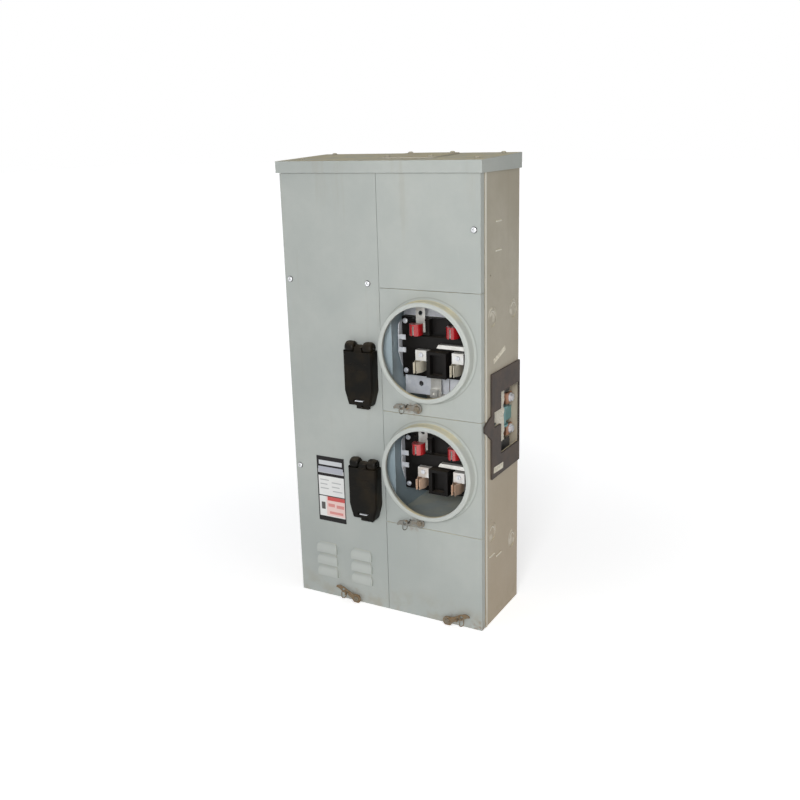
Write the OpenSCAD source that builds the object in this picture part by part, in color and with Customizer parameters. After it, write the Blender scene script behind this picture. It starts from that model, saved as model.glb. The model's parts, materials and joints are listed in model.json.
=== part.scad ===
// Two-position meter socket enclosure with a breaker compartment.
// Origin: middle of the bottom face. +X right, +Y back to the wall, +Z up.

/* [Enclosure] */
// Width of the sheet-metal case
case_w = 387; // [375:1:400]
// Depth of the case, from cover face to wall
case_d = 160; // [155:1:170]
// Height of the rain cap's front edge
cap_z = 821; // [818:1:830]
// Sheet thickness
sheet = 1.5; // [1.2:0.1:1.8]
// Overhang of the rain cap past the case
cap_over = 4.5; // [4.5:0.5:8]
// Height of the rain cap's skirt
cap_skirt = 20; // [16:1:20]
// Rise of the rain cap from front to back
cap_rise = 6; // [3:0.5:8]

/* [Covers] */
// X of the seam between the breaker cover and the right column
seam_x = 2; // [0:0.5:3]
// Height of the seam above the upper meter cover
upper_seam_z = 609; // [606:0.5:612]
// Height of the seam between the meter covers
middle_seam_z = 389.5; // [388:0.5:391]
// Height of the seam below the lower meter cover
lower_seam_z = 178; // [177:0.5:180]

/* [Meter sockets] */
// X of both meter sockets
meter_x = 94; // [93:0.5:95]
// Height of the upper meter socket's centre
upper_meter_z = 505.5; // [504:0.5:507]
// Height of the lower meter socket's centre
lower_meter_z = 289; // [288:0.5:290]
// Radius of the round meter opening
meter_r = 79; // [78:0.25:80]
// How far the meter collar stands out of its cover
collar_h = 21; // [18:0.5:23]
// Half the distance between the left and right jaws
jaw_dx = 35.5; // [34:0.5:37]
// Height of the line and load jaws above and below the centre
jaw_dz = 37.5; // [36:0.5:39]

/* [Breaker flaps] */
// X of both flaps
flap_x = -34; // [-36:0.5:-33]
// Height of the upper flap's hinge
upper_flap_z = 504; // [502:0.5:506]
// Height of the lower flap's hinge
lower_flap_z = 288; // [286:0.5:290]
// Width of a flap
flap_w = 58.5; // [56:0.5:60]
// How far a flap stands out of the cover
flap_h = 22; // [20:0.5:23]

/* [Bus window] */
// Height of the bus window's centre
window_z = 370; // [368:1:372]
// Height of the opening in the side wall
window_h = 113; // [110:1:116]

/* [Hidden] */

steel_green = [0.70, 0.73, 0.69];
steel_beige = [0.62, 0.60, 0.52];
plated = [0.80, 0.80, 0.78];
moulded = [0.12, 0.11, 0.10];
copper = [0.75, 0.50, 0.36];
red_cap = [0.68, 0.12, 0.14];
rusty = [0.45, 0.34, 0.24];

half_w = case_w / 2;
cover_y = -case_d / 2;
back_y = case_d / 2;
cap_under = cap_z - cap_skirt;
joggle = 2.4;
joggle_y = cover_y + 15;
lip_y = cover_y + 2.2;
lip_w = 14;
bead_w = 5;
bead_h = 0.8;
lip_in = half_w - joggle - sheet - lip_w;
inner_x = half_w - sheet;
inner_y = back_y - sheet;
slot_gap = 0.1;
edge_gap = 0.4;
wall_lip_t = 2.1;
flange_d = 13;
seam_flange = 5;
right_out = half_w - 0.2;
right_seam = seam_x + edge_gap;
rail_y = cover_y + 6.8;
partition_x = 6;
partition_h = cap_under - 6;
frame_t = 3.4;
window_y = [-5, 77];
nose_z = 385;

collar_r = meter_r + 8.5;
collar_fillet = 4;
collar_lip = 7;

flap_wall = 2.2;
bezel_t = 2.2;
hasp_z = -95.5;
ear_r = 10.8;
ear_w = 19;
ear_dx = 18.2;
knuckle_w = 7.4;
hinge_out = 11.2;
hinge_y = cover_y - hinge_out;
pin_r = 2;
pin_play = 0.05;
nose_w = 42;
nose_top = -18;
nose_bottom = -82;
handle_y = cover_y + 6;
handle_drop = -50;
drum_r = 10;

latch_out = 4.8;
latch_t = 1.8;
latch_play = 0.06;
stud_r = 3;
loop_wire = 0.8;
tongue_dx = 22;
tongue_t = 2;
tongue_h = 3.5;
foot_t = 1.2;
loop_dx = 31;
loop_drop = 1.8;

tray_y = -12;
block_y = tray_y - 14;
jaw_y = block_y - 4;
line_y = jaw_y - 10;
jaw_reach = 8;
jaw_narrow = 0.72;
line_jaw_dz = jaw_dz - 7.5;
cap_r = 11.2;
cap_y = line_y - 15.6;

// Bottoms of the upper and lower trays, their top, and the top of their legs
tray_low = [-98, -66];
tray_top = 60;
tray_leg = 30;

breaker_w = 50.8;
breaker_back = tray_y;
handle_w = 28;

bus_y = 52;
bus_t = 8;
bus_h = 20;
bus_a_z = 397;
bus_b_z = 338;
bus_end = 183;
bus_bolt_y = 68;
barrier_at = [172, 45];

screw_head_r = 4.8;

lance_r = 1.4;
lance_w = 22;

// Places that more than one piece shares: x, z
louver_x = [-130.5, -54];
louver_z = [96.5, 72, 47.5];
louver_w = 44;
louver_r = 20;
louver_in = 14.5;
louver_mouth = 7;
louver_shoulder = 4;
louver_corner = 11;
meters = [[meter_x, upper_meter_z], [meter_x, lower_meter_z]];
wall_mid_z = 400;
wall_holes = [150, 340];
lances = [[-9, 720], [-10, 672], [-38.5, 131], [-8, 121]];
hub_x = 40;
hub_y = 10;
hub_r = 31;
hub_screw_d = 41;
conduit_r = 25.5;
conduits = [[-100, 10], [95, 10]];
cap_screws = [for (x = [-170, 170], y = [cover_y + 40, back_y - 14]) [x, y]];
hub_screws = [for (x = [-1, 1], y = [-1, 1]) [hub_x, hub_y] + hub_screw_d * [x, y]];
knockouts = [[-36, 564], [55, 564], [-37, 176], [54, 129]];
knockout_r = 17.5;
left_screws = [[-182.5, 615], [-20.5, 615], [-184, 260]];
top_screw = [181.5, 712];

// Latches: pivot x, pivot z, turn of the arm, mirrored or not
upper_latch_at = [74, 403];
lower_latch_at = [74, 189];
left_latch_at = [-67, 8];
bottom_latch_at = [127, 8];

// Where each latch's arm points: turn from straight left, and 1 or -1 for left or right
latch_turns = [[upper_latch_at, 0, 1], [lower_latch_at, 8, 1], [left_latch_at, -25, 1],
    [bottom_latch_at, -25, -1]];

module rounded_slab(w, h, t, r) {
    linear_extrude(t) offset_square(w, h, r);
}

// A rectangle with round corners, from squares and circles only
module offset_square(w, h, r) {
    square([w - 2 * r, h], center = true);
    square([w, h - 2 * r], center = true);
    for (x = [-1, 1], z = [-1, 1]) translate([x * (w / 2 - r), z * (h / 2 - r)]) circle(r, $fn = 32);
}

// Stands a drawing in X and Y up in X and Z, grown towards -Y from y
module facing_front(y) {
    translate([0, y, 0]) rotate([90, 0, 0]) children();
}

// Stands a drawing in Y and Z up at x, grown towards +X
module facing_side(x) {
    translate([x, 0, 0]) rotate([90, 0, 90]) children();
}

module box(low, high) {
    translate(low) cube(high - low);
}

module pan_screw(length, shank_r = 2.4) {
    head_h = 3;
    difference() {
        rotate_extrude($fn = 48) polygon([[0, -length], [shank_r, -length], [shank_r, 0],
            [screw_head_r, 0], [screw_head_r, head_h * 0.35], [screw_head_r * 0.86, head_h * 0.72],
            [screw_head_r * 0.6, head_h * 0.92], [0, head_h]]);
        translate([0, 0, head_h]) cube([1.3, 7.4, 2.6], center = true);
        translate([0, 0, head_h]) cube([7.4, 1.3, 2.6], center = true);
    }
}

// ---- Enclosure ----

module wrap_half() {
    square_from([0, inner_y], [half_w, back_y]);
    square_from([half_w - sheet, joggle_y], [half_w, back_y]);
    square_from([half_w - joggle - sheet, joggle_y], [half_w, joggle_y + sheet]);
    square_from([half_w - joggle - sheet, lip_y], [half_w - joggle, joggle_y + sheet]);
    square_from([lip_in, lip_y], [half_w - joggle, lip_y + sheet]);
    square_from([half_w - sheet, joggle_y + sheet], [half_w + bead_h, joggle_y + sheet + bead_w]);
}

module square_from(low, high) {
    translate(low) square(high - low);
}

module case_wrap() {
    color(steel_beige) difference() {
        union() {
            linear_extrude(cap_z + cap_rise) {
                wrap_half();
                mirror([1, 0]) wrap_half();
            }
            for (p = lances) translate([half_w, p[0] - lance_w / 2, p[1]])
                rotate([-90, 0, 0]) cylinder(r = lance_r, h = lance_w, $fn = 32);
        }
        cap_space();
        for (x = [-1, 1], z = [-1, 1])
            translate([x * wall_holes[0], back_y + 1, wall_mid_z + z * wall_holes[1]])
                rotate([90, 0, 0]) cylinder(r = 4.5, h = 4, $fn = 48);
        for (k = knockouts) translate([half_w + 2, k[0], k[1]])
            rotate([0, -90, 0]) cylinder(r = knockout_r, h = 6, $fn = 64);
        box([half_w - 4, window_y[0], window_z - window_h / 2],
            [half_w + 4, window_y[1], window_z + window_h / 2]);
        box([half_w - 4, -34, nose_z - 16], [half_w + 4, window_y[0] + 1, nose_z + 12]);
        box([-half_w - 4, window_y[0], window_z - window_h / 2],
            [-half_w + 4, window_y[1], window_z + window_h / 2]);
        for (z = [634, 200]) translate([half_w + 2, -41, z])
            rotate([0, -90, 0]) cylinder(r = 2, h = 6, $fn = 32);
        screw_holes();
        for (x = [-1, 1], z = [-1, 1]) closing_screw_at(z) translate([0, 0, -20])
            cylinder(r = 2.6, h = 40, $fn = 32);
    }
}

// Everything above the underside of the sloping cap sheet
module cap_space() {
    facing_side(-half_w - 20) linear_extrude(case_w + 40)
        polygon([[cover_y - 30, cap_sheet_z(cover_y - 30)], [back_y + 30, cap_sheet_z(back_y + 30)],
            [back_y + 30, cap_z + 60], [cover_y - 30, cap_z + 60]]);
}

function cap_slope() = cap_rise / (case_d + cap_over);
function cap_sheet_z(y) = cap_z - sheet - slot_gap + (y - cover_y + cap_over) * cap_slope();

module top_wall() {
    color(steel_beige) {
        difference() {
            box([-inner_x + slot_gap, lip_y + sheet + slot_gap, partition_h + slot_gap],
                [inner_x - slot_gap, inner_y - slot_gap, partition_h + slot_gap + sheet]);
            for (x = [-1, 1]) corner_relief(x, partition_h);
            translate([hub_x, hub_y, partition_h - 2]) cylinder(r = hub_r, h = 8, $fn = 96);
        }
        box([-lip_in + 1, lip_y, partition_h - 14],
            [lip_in - 1, lip_y + wall_lip_t, partition_h + slot_gap + sheet]);
    }
}

// Clears the wrap's joggle and lip at a front corner
module corner_relief(side, z) {
    translate([side * half_w, 0, z - 5]) mirror([side < 0 ? 0 : 1, 0, 0])
        box([-1, cover_y - 5, 0], [joggle + sheet + 0.5, joggle_y + sheet + bead_w, 20]);
}

module bottom_wall() {
    color(steel_beige) {
        difference() {
            box([-inner_x + slot_gap, lip_y + sheet + slot_gap, 0],
                [inner_x - slot_gap, inner_y - slot_gap, sheet]);
            for (x = [-1, 1]) corner_relief(x, 0);
            for (c = conduits) translate([c[0], c[1], -1]) cylinder(r = conduit_r, h = 4, $fn = 96);
        }
        difference() {
            box([-lip_in + 1, lip_y, 0], [lip_in - 1, lip_y + wall_lip_t, 26]);
            staple_slot(left_latch_at, 3);
            staple_slot(bottom_latch_at, 3);
        }
    }
}

module rain_cap() {
    front = cover_y - cap_over;
    color(steel_beige) difference() {
        facing_side(-half_w - cap_over) linear_extrude(case_w + 2 * cap_over)
            polygon([[front, cap_under], [back_y, cap_under], [back_y, cap_z + cap_rise], [front, cap_z]]);
        facing_side(-half_w - cap_over + sheet) linear_extrude(case_w + 2 * cap_over - 2 * sheet)
            polygon([[front + sheet, cap_under - 1], [back_y + 1, cap_under - 1],
                [back_y + 1, cap_z + cap_rise - sheet + cap_slope()],
                [front + sheet, cap_z - sheet + sheet * cap_slope()]]);
        for (p = cap_screws) translate([p[0], p[1], cap_z - 6]) cylinder(r = 2.6, h = 16, $fn = 32);
        translate([hub_x, hub_y, cap_z - 6]) cylinder(r = hub_r, h = 16, $fn = 96);
        for (p = hub_screws) translate([p[0], p[1], cap_z - 6]) cylinder(r = 2.6, h = 16, $fn = 32);
    }
}

function cap_top_z(y) = cap_z + (y - cover_y + cap_over) * cap_slope();

// Tips its children to lie on the sloping cap at x and y
module on_cap(x, y, lift = 0) {
    translate([x, y, cap_top_z(y)]) rotate([atan(cap_slope()), 0, 0]) translate([0, 0, lift]) children();
}

module hub_plate() {
    color(steel_beige) on_cap(hub_x, hub_y, slot_gap) difference() {
        rounded_slab(104, 104, 2, 8);
        for (x = [-1, 1], y = [-1, 1]) translate([x * hub_screw_d, y * hub_screw_d, -1])
            cylinder(r = 2.8, h = 4, $fn = 32);
    }
}

module closing_screw_at(z) {
    translate([-half_w - 2.2, (window_y[0] + window_y[1]) / 2, window_z + z * (window_h / 2 + 8)])
        rotate([0, -90, 0]) children();
}

module case_screws() {
    color(plated) {
        for (p = cap_screws) on_cap(p[0], p[1], slot_gap) pan_screw(9);
        for (p = hub_screws) on_cap(p[0], p[1], 2 + 2 * slot_gap) pan_screw(10);
        for (z = [-1, 1]) closing_screw_at(z) pan_screw(8);
    }
}

module partition_wall() {
    color(steel_green) difference() {
        box([partition_x, rail_y + sheet + slot_gap, sheet + slot_gap],
            [partition_x + sheet, inner_y - slot_gap, partition_h]);
        for (m = meters) box([partition_x - 1, -10, m[1] - 70], [partition_x + 4, 0, m[1] - 26]);
        box([partition_x - 1, 16, 40], [partition_x + 4, 56, 80]);
    }
}

module centre_rail() {
    color(steel_green) difference() {
        union() {
            box([-30, rail_y, sheet + slot_gap], [20, rail_y + sheet, partition_h]);
            box([-30, rail_y, sheet + slot_gap], [-30 + sheet, rail_y + 14, partition_h]);
        }
        for (z = [upper_flap_z, lower_flap_z]) box([-31, rail_y - 1, z - 100], [-2, rail_y + 15, z - 2]);
        screw_holes();
    }
}

// Angle rails behind the horizontal seams of the right column
module cross_rails() {
    right = half_w - joggle - sheet - slot_gap;
    color(steel_green) for (z = [upper_seam_z, middle_seam_z, lower_seam_z]) {
        box([20 + slot_gap, rail_y, z - 12], [right, rail_y + sheet, z + 12]);
        box([20 + slot_gap, rail_y, z - 12], [right, rail_y + 6, z - 12 + sheet]);
    }
}

module screw_holes() {
    for (p = concat(left_screws, [top_screw])) translate([p[0], cover_y - 1, p[1]])
        rotate([-90, 0, 0]) cylinder(r = 3, h = 12, $fn = 32);
}

module side_knockouts() {
    color(steel_beige) for (k = knockouts) translate([half_w - 0.5, k[0], k[1]]) rotate([0, -90, 0]) {
        difference() {
            cylinder(r = knockout_r - 0.15, h = sheet, $fn = 64);
            translate([0, 0, -0.1]) difference() {
                cylinder(r = 13.2, h = 0.7, $fn = 64);
                translate([0, 0, -1]) cylinder(r = 12.2, h = 3, $fn = 64);
            }
        }
    }
}

// Gasket frame round the bus window, with the nose that reaches forward
module bus_window_frame() {
    color([0.25, 0.23, 0.21]) difference() {
        facing_side(half_w + slot_gap + 0.2) linear_extrude(frame_t) window_frame_outline();
        box([half_w - 1, joggle_y + sheet - 0.3, 0],
            [half_w + bead_h + 0.3, joggle_y + sheet + bead_w + 0.3, cap_z]);
    }
}

module window_frame_outline() {
    difference() {
        union() {
            square_from([-44, window_z - 93], [back_y - 0.5, window_z + 96]);
            polygon([[-43, nose_z + 8], [-64, nose_z + 2], [-73, nose_z - 4], [-73, nose_z - 14],
                [-58, nose_z - 24], [-43, nose_z - 36]]);
        }
        square_from([window_y[0], window_z - window_h / 2], [window_y[1], window_z + window_h / 2]);
        square_from([-34, nose_z - 16], [window_y[0] + 1, nose_z + 12]);
    }
}

module side_closing_plate() {
    color(steel_beige) difference() {
        facing_side(-half_w - 2) linear_extrude(1.9)
            translate([(window_y[0] + window_y[1]) / 2, window_z])
                offset_square(window_y[1] - window_y[0] + 20 - 17, window_h + 34, 5);
        for (z = [-1, 1]) closing_screw_at(z) translate([0, 0, -4]) cylinder(r = 2.8, h = 8, $fn = 32);
    }
}

// ---- Covers ----

// Flat cover with a deep flange on its outer edge and a shallow one on the seam
module cover_sheet(x_out, x_seam, z0, z1) {
    side = x_out < x_seam ? 1 : -1;
    box([min(x_out, x_seam), cover_y, z0], [max(x_out, x_seam), cover_y + sheet, z1]);
    box([min(x_out, x_out + side * sheet), cover_y, z0],
        [max(x_out, x_out + side * sheet), cover_y + flange_d, z1]);
    box([min(x_seam, x_seam - side * sheet), cover_y, max(z0, 28)],
        [max(x_seam, x_seam - side * sheet), cover_y + seam_flange, min(z1, partition_h - 15)]);
}

module right_cover_sheet(z0, z1, top_flange, bottom_flange) {
    cover_sheet(right_out, right_seam, z0, z1);
    if (top_flange) box([right_seam, cover_y, z1 - sheet], [lip_in - 1, cover_y + seam_flange, z1]);
    if (bottom_flange) box([right_seam, cover_y, z0], [lip_in - 1, cover_y + seam_flange, z0 + sheet]);
}

// What a louver's hood fills: a barrel across the cover, cut to a round-topped outline
module louver_hood(inset) {
    intersection() {
        translate([-louver_w, louver_in, 0]) rotate([0, 90, 0])
            cylinder(r = louver_r - inset, h = 2 * louver_w, $fn = 96);
        facing_front(2) linear_extrude(louver_r) louver_outline(inset);
    }
}

module louver_outline(inset) {
    half = louver_w / 2 - inset;
    square_from([-half, -louver_mouth - inset], [half, louver_shoulder]);
    for (x = [-1, 1]) translate([x * (half - louver_corner), louver_shoulder])
        circle(louver_corner, $fn = 48);
    square_from([louver_corner - half, 0], [half - louver_corner, louver_shoulder + louver_corner]);
}

module louver() {
    difference() {
        louver_hood(0);
        louver_hood(sheet);
        box([-louver_w, 0.7, -louver_w], [louver_w, louver_w, louver_w]);
    }
}

module breaker_cover() {
    color(steel_green) {
        difference() {
            cover_sheet(-half_w + 0.2, seam_x - edge_gap, 0.6, cap_under - 0.6);
            for (z = [upper_flap_z, lower_flap_z])
                box([flap_x - nose_w / 2 - 1.2, cover_y - 1, z + nose_bottom - 1.2],
                    [flap_x + nose_w / 2 + 1.2, cover_y + 3, z + nose_top + 1.2]);
            for (p = left_screws) translate([p[0], cover_y - 1, p[1]])
                rotate([-90, 0, 0]) cylinder(r = 2.7, h = 4, $fn = 32);
            for (x = louver_x, z = louver_z) translate([x, cover_y, z]) louver_hood(sheet);
            staple_slot(left_latch_at, 1);
        }
        for (x = louver_x, z = louver_z) translate([x, cover_y, z]) louver();
        latch_stud(left_latch_at);
    }
}

module breaker_cover_screws() {
    color(plated) for (p = left_screws)
        translate([p[0], cover_y - slot_gap, p[1]]) rotate([90, 0, 0]) pan_screw(12);
}

module rating_plate() {
    color([0.85, 0.85, 0.83]) facing_front(cover_y - 0.05) translate([-115.6, 220.5])
        rounded_slab(60.5, 130, 0.5, 1.5);
}

module top_blank_cover() {
    color(steel_green) difference() {
        right_cover_sheet(upper_seam_z + edge_gap, cap_under - 0.6, false, true);
        translate([top_screw[0], cover_y - 1, top_screw[1]])
            rotate([-90, 0, 0]) cylinder(r = 2.7, h = 4, $fn = 32);
    }
}

module top_cover_screw() {
    color(plated) translate([top_screw[0], cover_y - slot_gap, top_screw[1]])
        rotate([90, 0, 0]) pan_screw(12);
}

module bottom_blank_cover() {
    color(steel_green) {
        difference() {
            right_cover_sheet(0.6, lower_seam_z - edge_gap, true, false);
            staple_slot(bottom_latch_at, 1);
        }
        latch_stud(bottom_latch_at);
    }
}

// Points on a circle about c from angle a0 to angle a1
function arc(c, r, a0, a1, n = 6) =
    [for (i = [0:n]) let(a = a0 + (a1 - a0) * i / n) c + r * [cos(a), sin(a)]];

// Drawn collar: a round wall, a flat front rim and an inner lip that guides the meter
module meter_collar() {
    r = collar_r;
    f = collar_fillet;
    b = 3;
    rotate_extrude($fn = 160) polygon(concat(
        arc([r + f, f], f, 270, 180),
        arc([r - b, collar_h - b], b, 0, 90),
        [[meter_r + 0.8, collar_h], [meter_r, collar_h - 0.8], [meter_r, collar_h - collar_lip],
            [meter_r + sheet, collar_h - collar_lip], [meter_r + sheet, collar_h - sheet]],
        arc([r - b, collar_h - b], b - sheet, 90, 0),
        arc([r + f, f], f + sheet, 180, 270)));
}

module meter_cover(z, z0, z1, latch_at) {
    color(steel_green) {
        difference() {
            right_cover_sheet(z0, z1, true, true);
            translate([meter_x, cover_y - 1, z]) rotate([-90, 0, 0])
                cylinder(r = collar_r + collar_fillet, h = 8, $fn = 160);
            staple_slot(latch_at, 1);
        }
        translate([meter_x, cover_y, z]) rotate([90, 0, 0]) meter_collar();
        latch_stud(latch_at);
    }
}

module upper_meter_cover() {
    meter_cover(upper_meter_z, middle_seam_z + edge_gap, upper_seam_z - edge_gap, upper_latch_at);
}

module lower_meter_cover() {
    meter_cover(lower_meter_z, lower_seam_z + edge_gap, middle_seam_z - edge_gap, lower_latch_at);
}

// ---- Latches ----

function turn_of(at) = [for (t = latch_turns) if (t[0] == at) t][0];

// Puts a drawing of the arm, which points to -X, in its place on the cover
module at_latch(at, y) {
    t = turn_of(at);
    translate([at[0], y, at[1]]) rotate([90, 0, 0]) mirror([t[2] < 0 ? 1 : 0, 0]) rotate(t[1]) children();
}

function from_latch(at, d) = let(t = turn_of(at))
    [at[0] - t[2] * d * cos(t[1]), at[1] - d * sin(t[1])];

// The notch opens on the side that leaves the staple when the arm turns
function notch_side(at) = turn_of(at)[1] < 0 ? -1 : 1;

module latch_stud(at) {
    translate([at[0], cover_y + 0.5, at[1]]) rotate([90, 0, 0]) {
        cylinder(r = stud_r, h = latch_out + latch_t + 1.6, $fn = 48);
        translate([0, 0, latch_out + latch_t + 1]) rotate_extrude($fn = 48)
            polygon([[0, 0], [5.4, 0], [5.2, 1], [4, 2], [0, 2.5]]);
    }
}

module latch_arm(at) {
    s = notch_side(at);
    color(rusty) at_latch(at, cover_y - latch_out) difference() {
        union() {
            linear_extrude(latch_t) {
                circle(9.3, $fn = 48);
                polygon([[-3, 5.5], [-18, 4.6], [-30, 5.2], [-41, 4.4], [-47.5, -1], [-47, -4.8],
                    [-41, -3.6], [-31, -5.4], [-18, -4.6], [-3, -5.5]]);
                translate([-loop_dx, 0]) circle(5.6, $fn = 40);
            }
            translate([0, 0, -latch_out + 0.3]) cylinder(r = 6.5, h = latch_out, $fn = 48);
        }
        translate([0, 0, -10]) cylinder(r = stud_r + latch_play, h = 20, $fn = 48);
        translate([-loop_dx, 0, -2]) cylinder(r = 3.2, h = 6, $fn = 40);
        translate([-tongue_dx - 2.6, s > 0 ? -1 : -12, -2]) cube([5.2, 13, 6]);
    }
}

// A staple's section in the frame of its latch arm, grown by gap all round
module staple_section(at, gap = 0) {
    translate([-tongue_dx, notch_side(at) * tongue_h / 2])
        square([tongue_t + 2 * gap, tongue_h + 2 * gap], center = true);
}

// Slot for the staple through a cover or a wall
module staple_slot(at, gap) {
    at_latch(at, cover_y + 12) linear_extrude(14) staple_section(at, gap);
}

// Fixed tongues that reach through the covers, each with a hole for a seal
module cover_staples() {
    tip_y = cover_y - 13;
    color(plated) for (at = [upper_latch_at, lower_latch_at, left_latch_at, bottom_latch_at]) {
        p = from_latch(at, tongue_dx);
        low = at[1] < 50;
        foot_y = low ? lip_y + wall_lip_t + slot_gap : rail_y - slot_gap - foot_t;
        difference() {
            at_latch(at, foot_y + 0.5) linear_extrude(foot_y + 0.5 - tip_y) staple_section(at);
            at_latch(at, tip_y + 2.6) translate([-tongue_dx - 3, notch_side(at) * tongue_h / 2, 0])
                rotate([0, 90, 0]) cylinder(r = 1.1, h = 6, $fn = 24);
        }
        if (low) box([p[0] - 9, foot_y, 3], [p[0] + 9, foot_y + foot_t, 24]);
        else box([p[0] - 9, foot_y, p[1] - 20], [p[0] + 9, foot_y + foot_t, p[1] + 5]);
    }
}

// Wire loop that hangs from the arm's end hole: straight is the length of its sides
module seal_loop(at, straight) {
    p = from_latch(at, loop_dx);
    r = 4.5;
    color(rusty) translate([p[0], cover_y - latch_out - latch_t / 2, p[1] - loop_drop - r])
        rotate([0, 0, 55]) rotate([90, 0, 0]) {
            rotate_extrude(angle = 180, $fn = 48) translate([r, 0]) circle(loop_wire, $fn = 20);
            translate([0, -straight, 0]) rotate([0, 0, 180])
                rotate_extrude(angle = 180, $fn = 48) translate([r, 0]) circle(loop_wire, $fn = 20);
            for (x = [-r, r]) translate([x, 0, 0]) rotate([90, 0, 0])
                cylinder(r = loop_wire, h = straight, $fn = 20);
        }
}

module upper_latch() { latch_arm(upper_latch_at); }
module lower_latch() { latch_arm(lower_latch_at); }
module left_latch() { latch_arm(left_latch_at); }
module bottom_latch() { latch_arm(bottom_latch_at); }
module upper_seal_loop() { seal_loop(upper_latch_at, 2); }
module lower_seal_loop() { seal_loop(lower_latch_at, 3); }
module left_seal_loop() { seal_loop(left_latch_at, 7); }
module bottom_seal_loop() { seal_loop(bottom_latch_at, 7); }

// ---- Breaker flaps ----

function flap_outline(inset, bottom) = let(w = flap_w / 2 - inset)
    [[-w, -5 - inset], [-w, -78], [-22 + inset, bottom], [22 - inset, bottom], [w, -78], [w, -5 - inset]];

// Puts children in a flap's own frame: its origin is on the hinge axis
module at_flap(z) {
    translate([flap_x, hinge_y, z]) children();
}

module flap_bezel(z) {
    back = hinge_out;
    color(moulded) at_flap(z) difference() {
        union() {
            facing_front(back - slot_gap) linear_extrude(bezel_t) polygon(flap_outline(0.8, -103));
            facing_front(back - slot_gap) linear_extrude(4.5) bezel_opening(1.5);
            for (x = [-ear_dx, ear_dx]) translate([x, 0, 0]) {
                ear();
                box([-5, 0, -9], [5, back - slot_gap, 4]);
            }
        }
        facing_front(back + 1) linear_extrude(20) bezel_opening(0);
        rotate([0, 90, 0]) translate([0, 0, -40]) cylinder(r = pin_r, h = 80, $fn = 48);
        rotate([0, 90, 0]) translate([0, 0, -8.8]) cylinder(r = 5.6, h = 17.6, $fn = 48);
    }
}

module bezel_opening(grow) {
    translate([0, (nose_top + nose_bottom) / 2])
        square([nose_w + 2 + 2 * grow, nose_top - nose_bottom + 2 + 2 * grow], center = true);
}

// Domed knuckle, turned about the hinge axis
module ear() {
    n = 8;
    h = ear_w / 2;
    rotate([0, 90, 0]) rotate_extrude($fn = 64) polygon(concat([[0, -h]],
        [for (i = [-n:n]) [6.4 + (ear_r - 6.4) * sqrt(1 - pow(abs(i / n), 3)), h * i / n]], [[0, h]]));
}

module flap_pins() {
    color(plated) for (z = [upper_flap_z, lower_flap_z]) at_flap(z)
        rotate([0, 90, 0]) translate([0, 0, -26]) cylinder(r = pin_r, h = 52, $fn = 48);
}

// Plated tongues that reach through the flaps' lower slots to take a padlock
module flap_hasps() {
    back = hinge_out - slot_gap - bezel_t;
    color(plated) for (z = [upper_flap_z, lower_flap_z]) at_flap(z) {
        box([-8, hinge_out - flap_h - 0.4, hasp_z - 0.75], [8, back - slot_gap, hasp_z + 0.75]);
        box([-8, back - slot_gap - 1.4, hasp_z - 4.7], [8, back - slot_gap, hasp_z + 0.75]);
    }
}

module flap(z) {
    chamfer = 2.4;
    rear = hinge_out - 3.1;
    front = hinge_out - flap_h;
    color(moulded) at_flap(z) difference() {
        union() {
            difference() {
                union() {
                    for (i = [0:2]) facing_front(rear) linear_extrude(rear - front - chamfer * (1 - i / 2))
                        polygon(flap_outline(chamfer * i * i / 4, -104 + chamfer * i * i / 4));
                }
                facing_front(rear + 1) linear_extrude(rear + 1 - front - flap_wall)
                    polygon(flap_outline(flap_wall, -101));
                for (x = [-ear_dx, ear_dx]) translate([x - ear_w / 2 - 0.7, 0, 0])
                    rotate([0, 90, 0]) cylinder(r = ear_r + 0.8, h = ear_w + 1.4, $fn = 64);
            }
            rotate([0, 90, 0]) translate([0, 0, -knuckle_w]) cylinder(r = 5, h = 2 * knuckle_w, $fn = 48);
            box([-knuckle_w, front + chamfer, -9], [knuckle_w, front + chamfer + 3.2, 0]);
            box([-knuckle_w, front + chamfer, -3], [knuckle_w, 0, 1.5]);
            box([-12.5, rear - 7, -113], [12.5, rear, -103]);
        }
        rotate([0, 90, 0]) translate([0, 0, -20]) cylinder(r = pin_r + pin_play, h = 40, $fn = 48);
        box([-11, front - 1, hasp_z - 2.4], [11, front + flap_wall + 1, hasp_z + 2.4]);
        translate([0, 10, -108.5]) rotate([90, 0, 0]) cylinder(r = 2.6, h = 30, $fn = 32);
        for (d = [-28, -40]) box([-18, front - 1, d - 0.4], [18, front + 0.6, d + 0.4]);
    }
}

module upper_flap_bezel() { flap_bezel(upper_flap_z); }
module lower_flap_bezel() { flap_bezel(lower_flap_z); }
module upper_flap() { flap(upper_flap_z); }
module lower_flap() { flap(lower_flap_z); }

// ---- Breakers ----

module breaker(z) {
    color([0.10, 0.10, 0.11]) translate([flap_x, 0, z]) difference() {
        union() {
            box([-breaker_w / 2, rail_y + 7, -94], [breaker_w / 2, breaker_back, -6]);
            box([-nose_w / 2, cover_y - 4, nose_bottom], [nose_w / 2, rail_y + 8, nose_top]);
        }
        translate([-handle_w / 2 - 0.6, handle_y, handle_drop]) rotate([0, 90, 0])
            cylinder(r = drum_r + 0.5, h = handle_w + 1.2, $fn = 64);
        box([-handle_w / 2 - 0.6, cover_y - 6, handle_drop - 13],
            [handle_w / 2 + 0.6, handle_y - 4, handle_drop + 13]);
        box([-0.5, cover_y - 6, -95], [0.5, cover_y - 2, -5]);
        for (x = [-12.7, 12.7]) translate([x, (rail_y + breaker_back) / 2, -96])
            cylinder(r = 4, h = 14, $fn = 32);
    }
}

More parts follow.
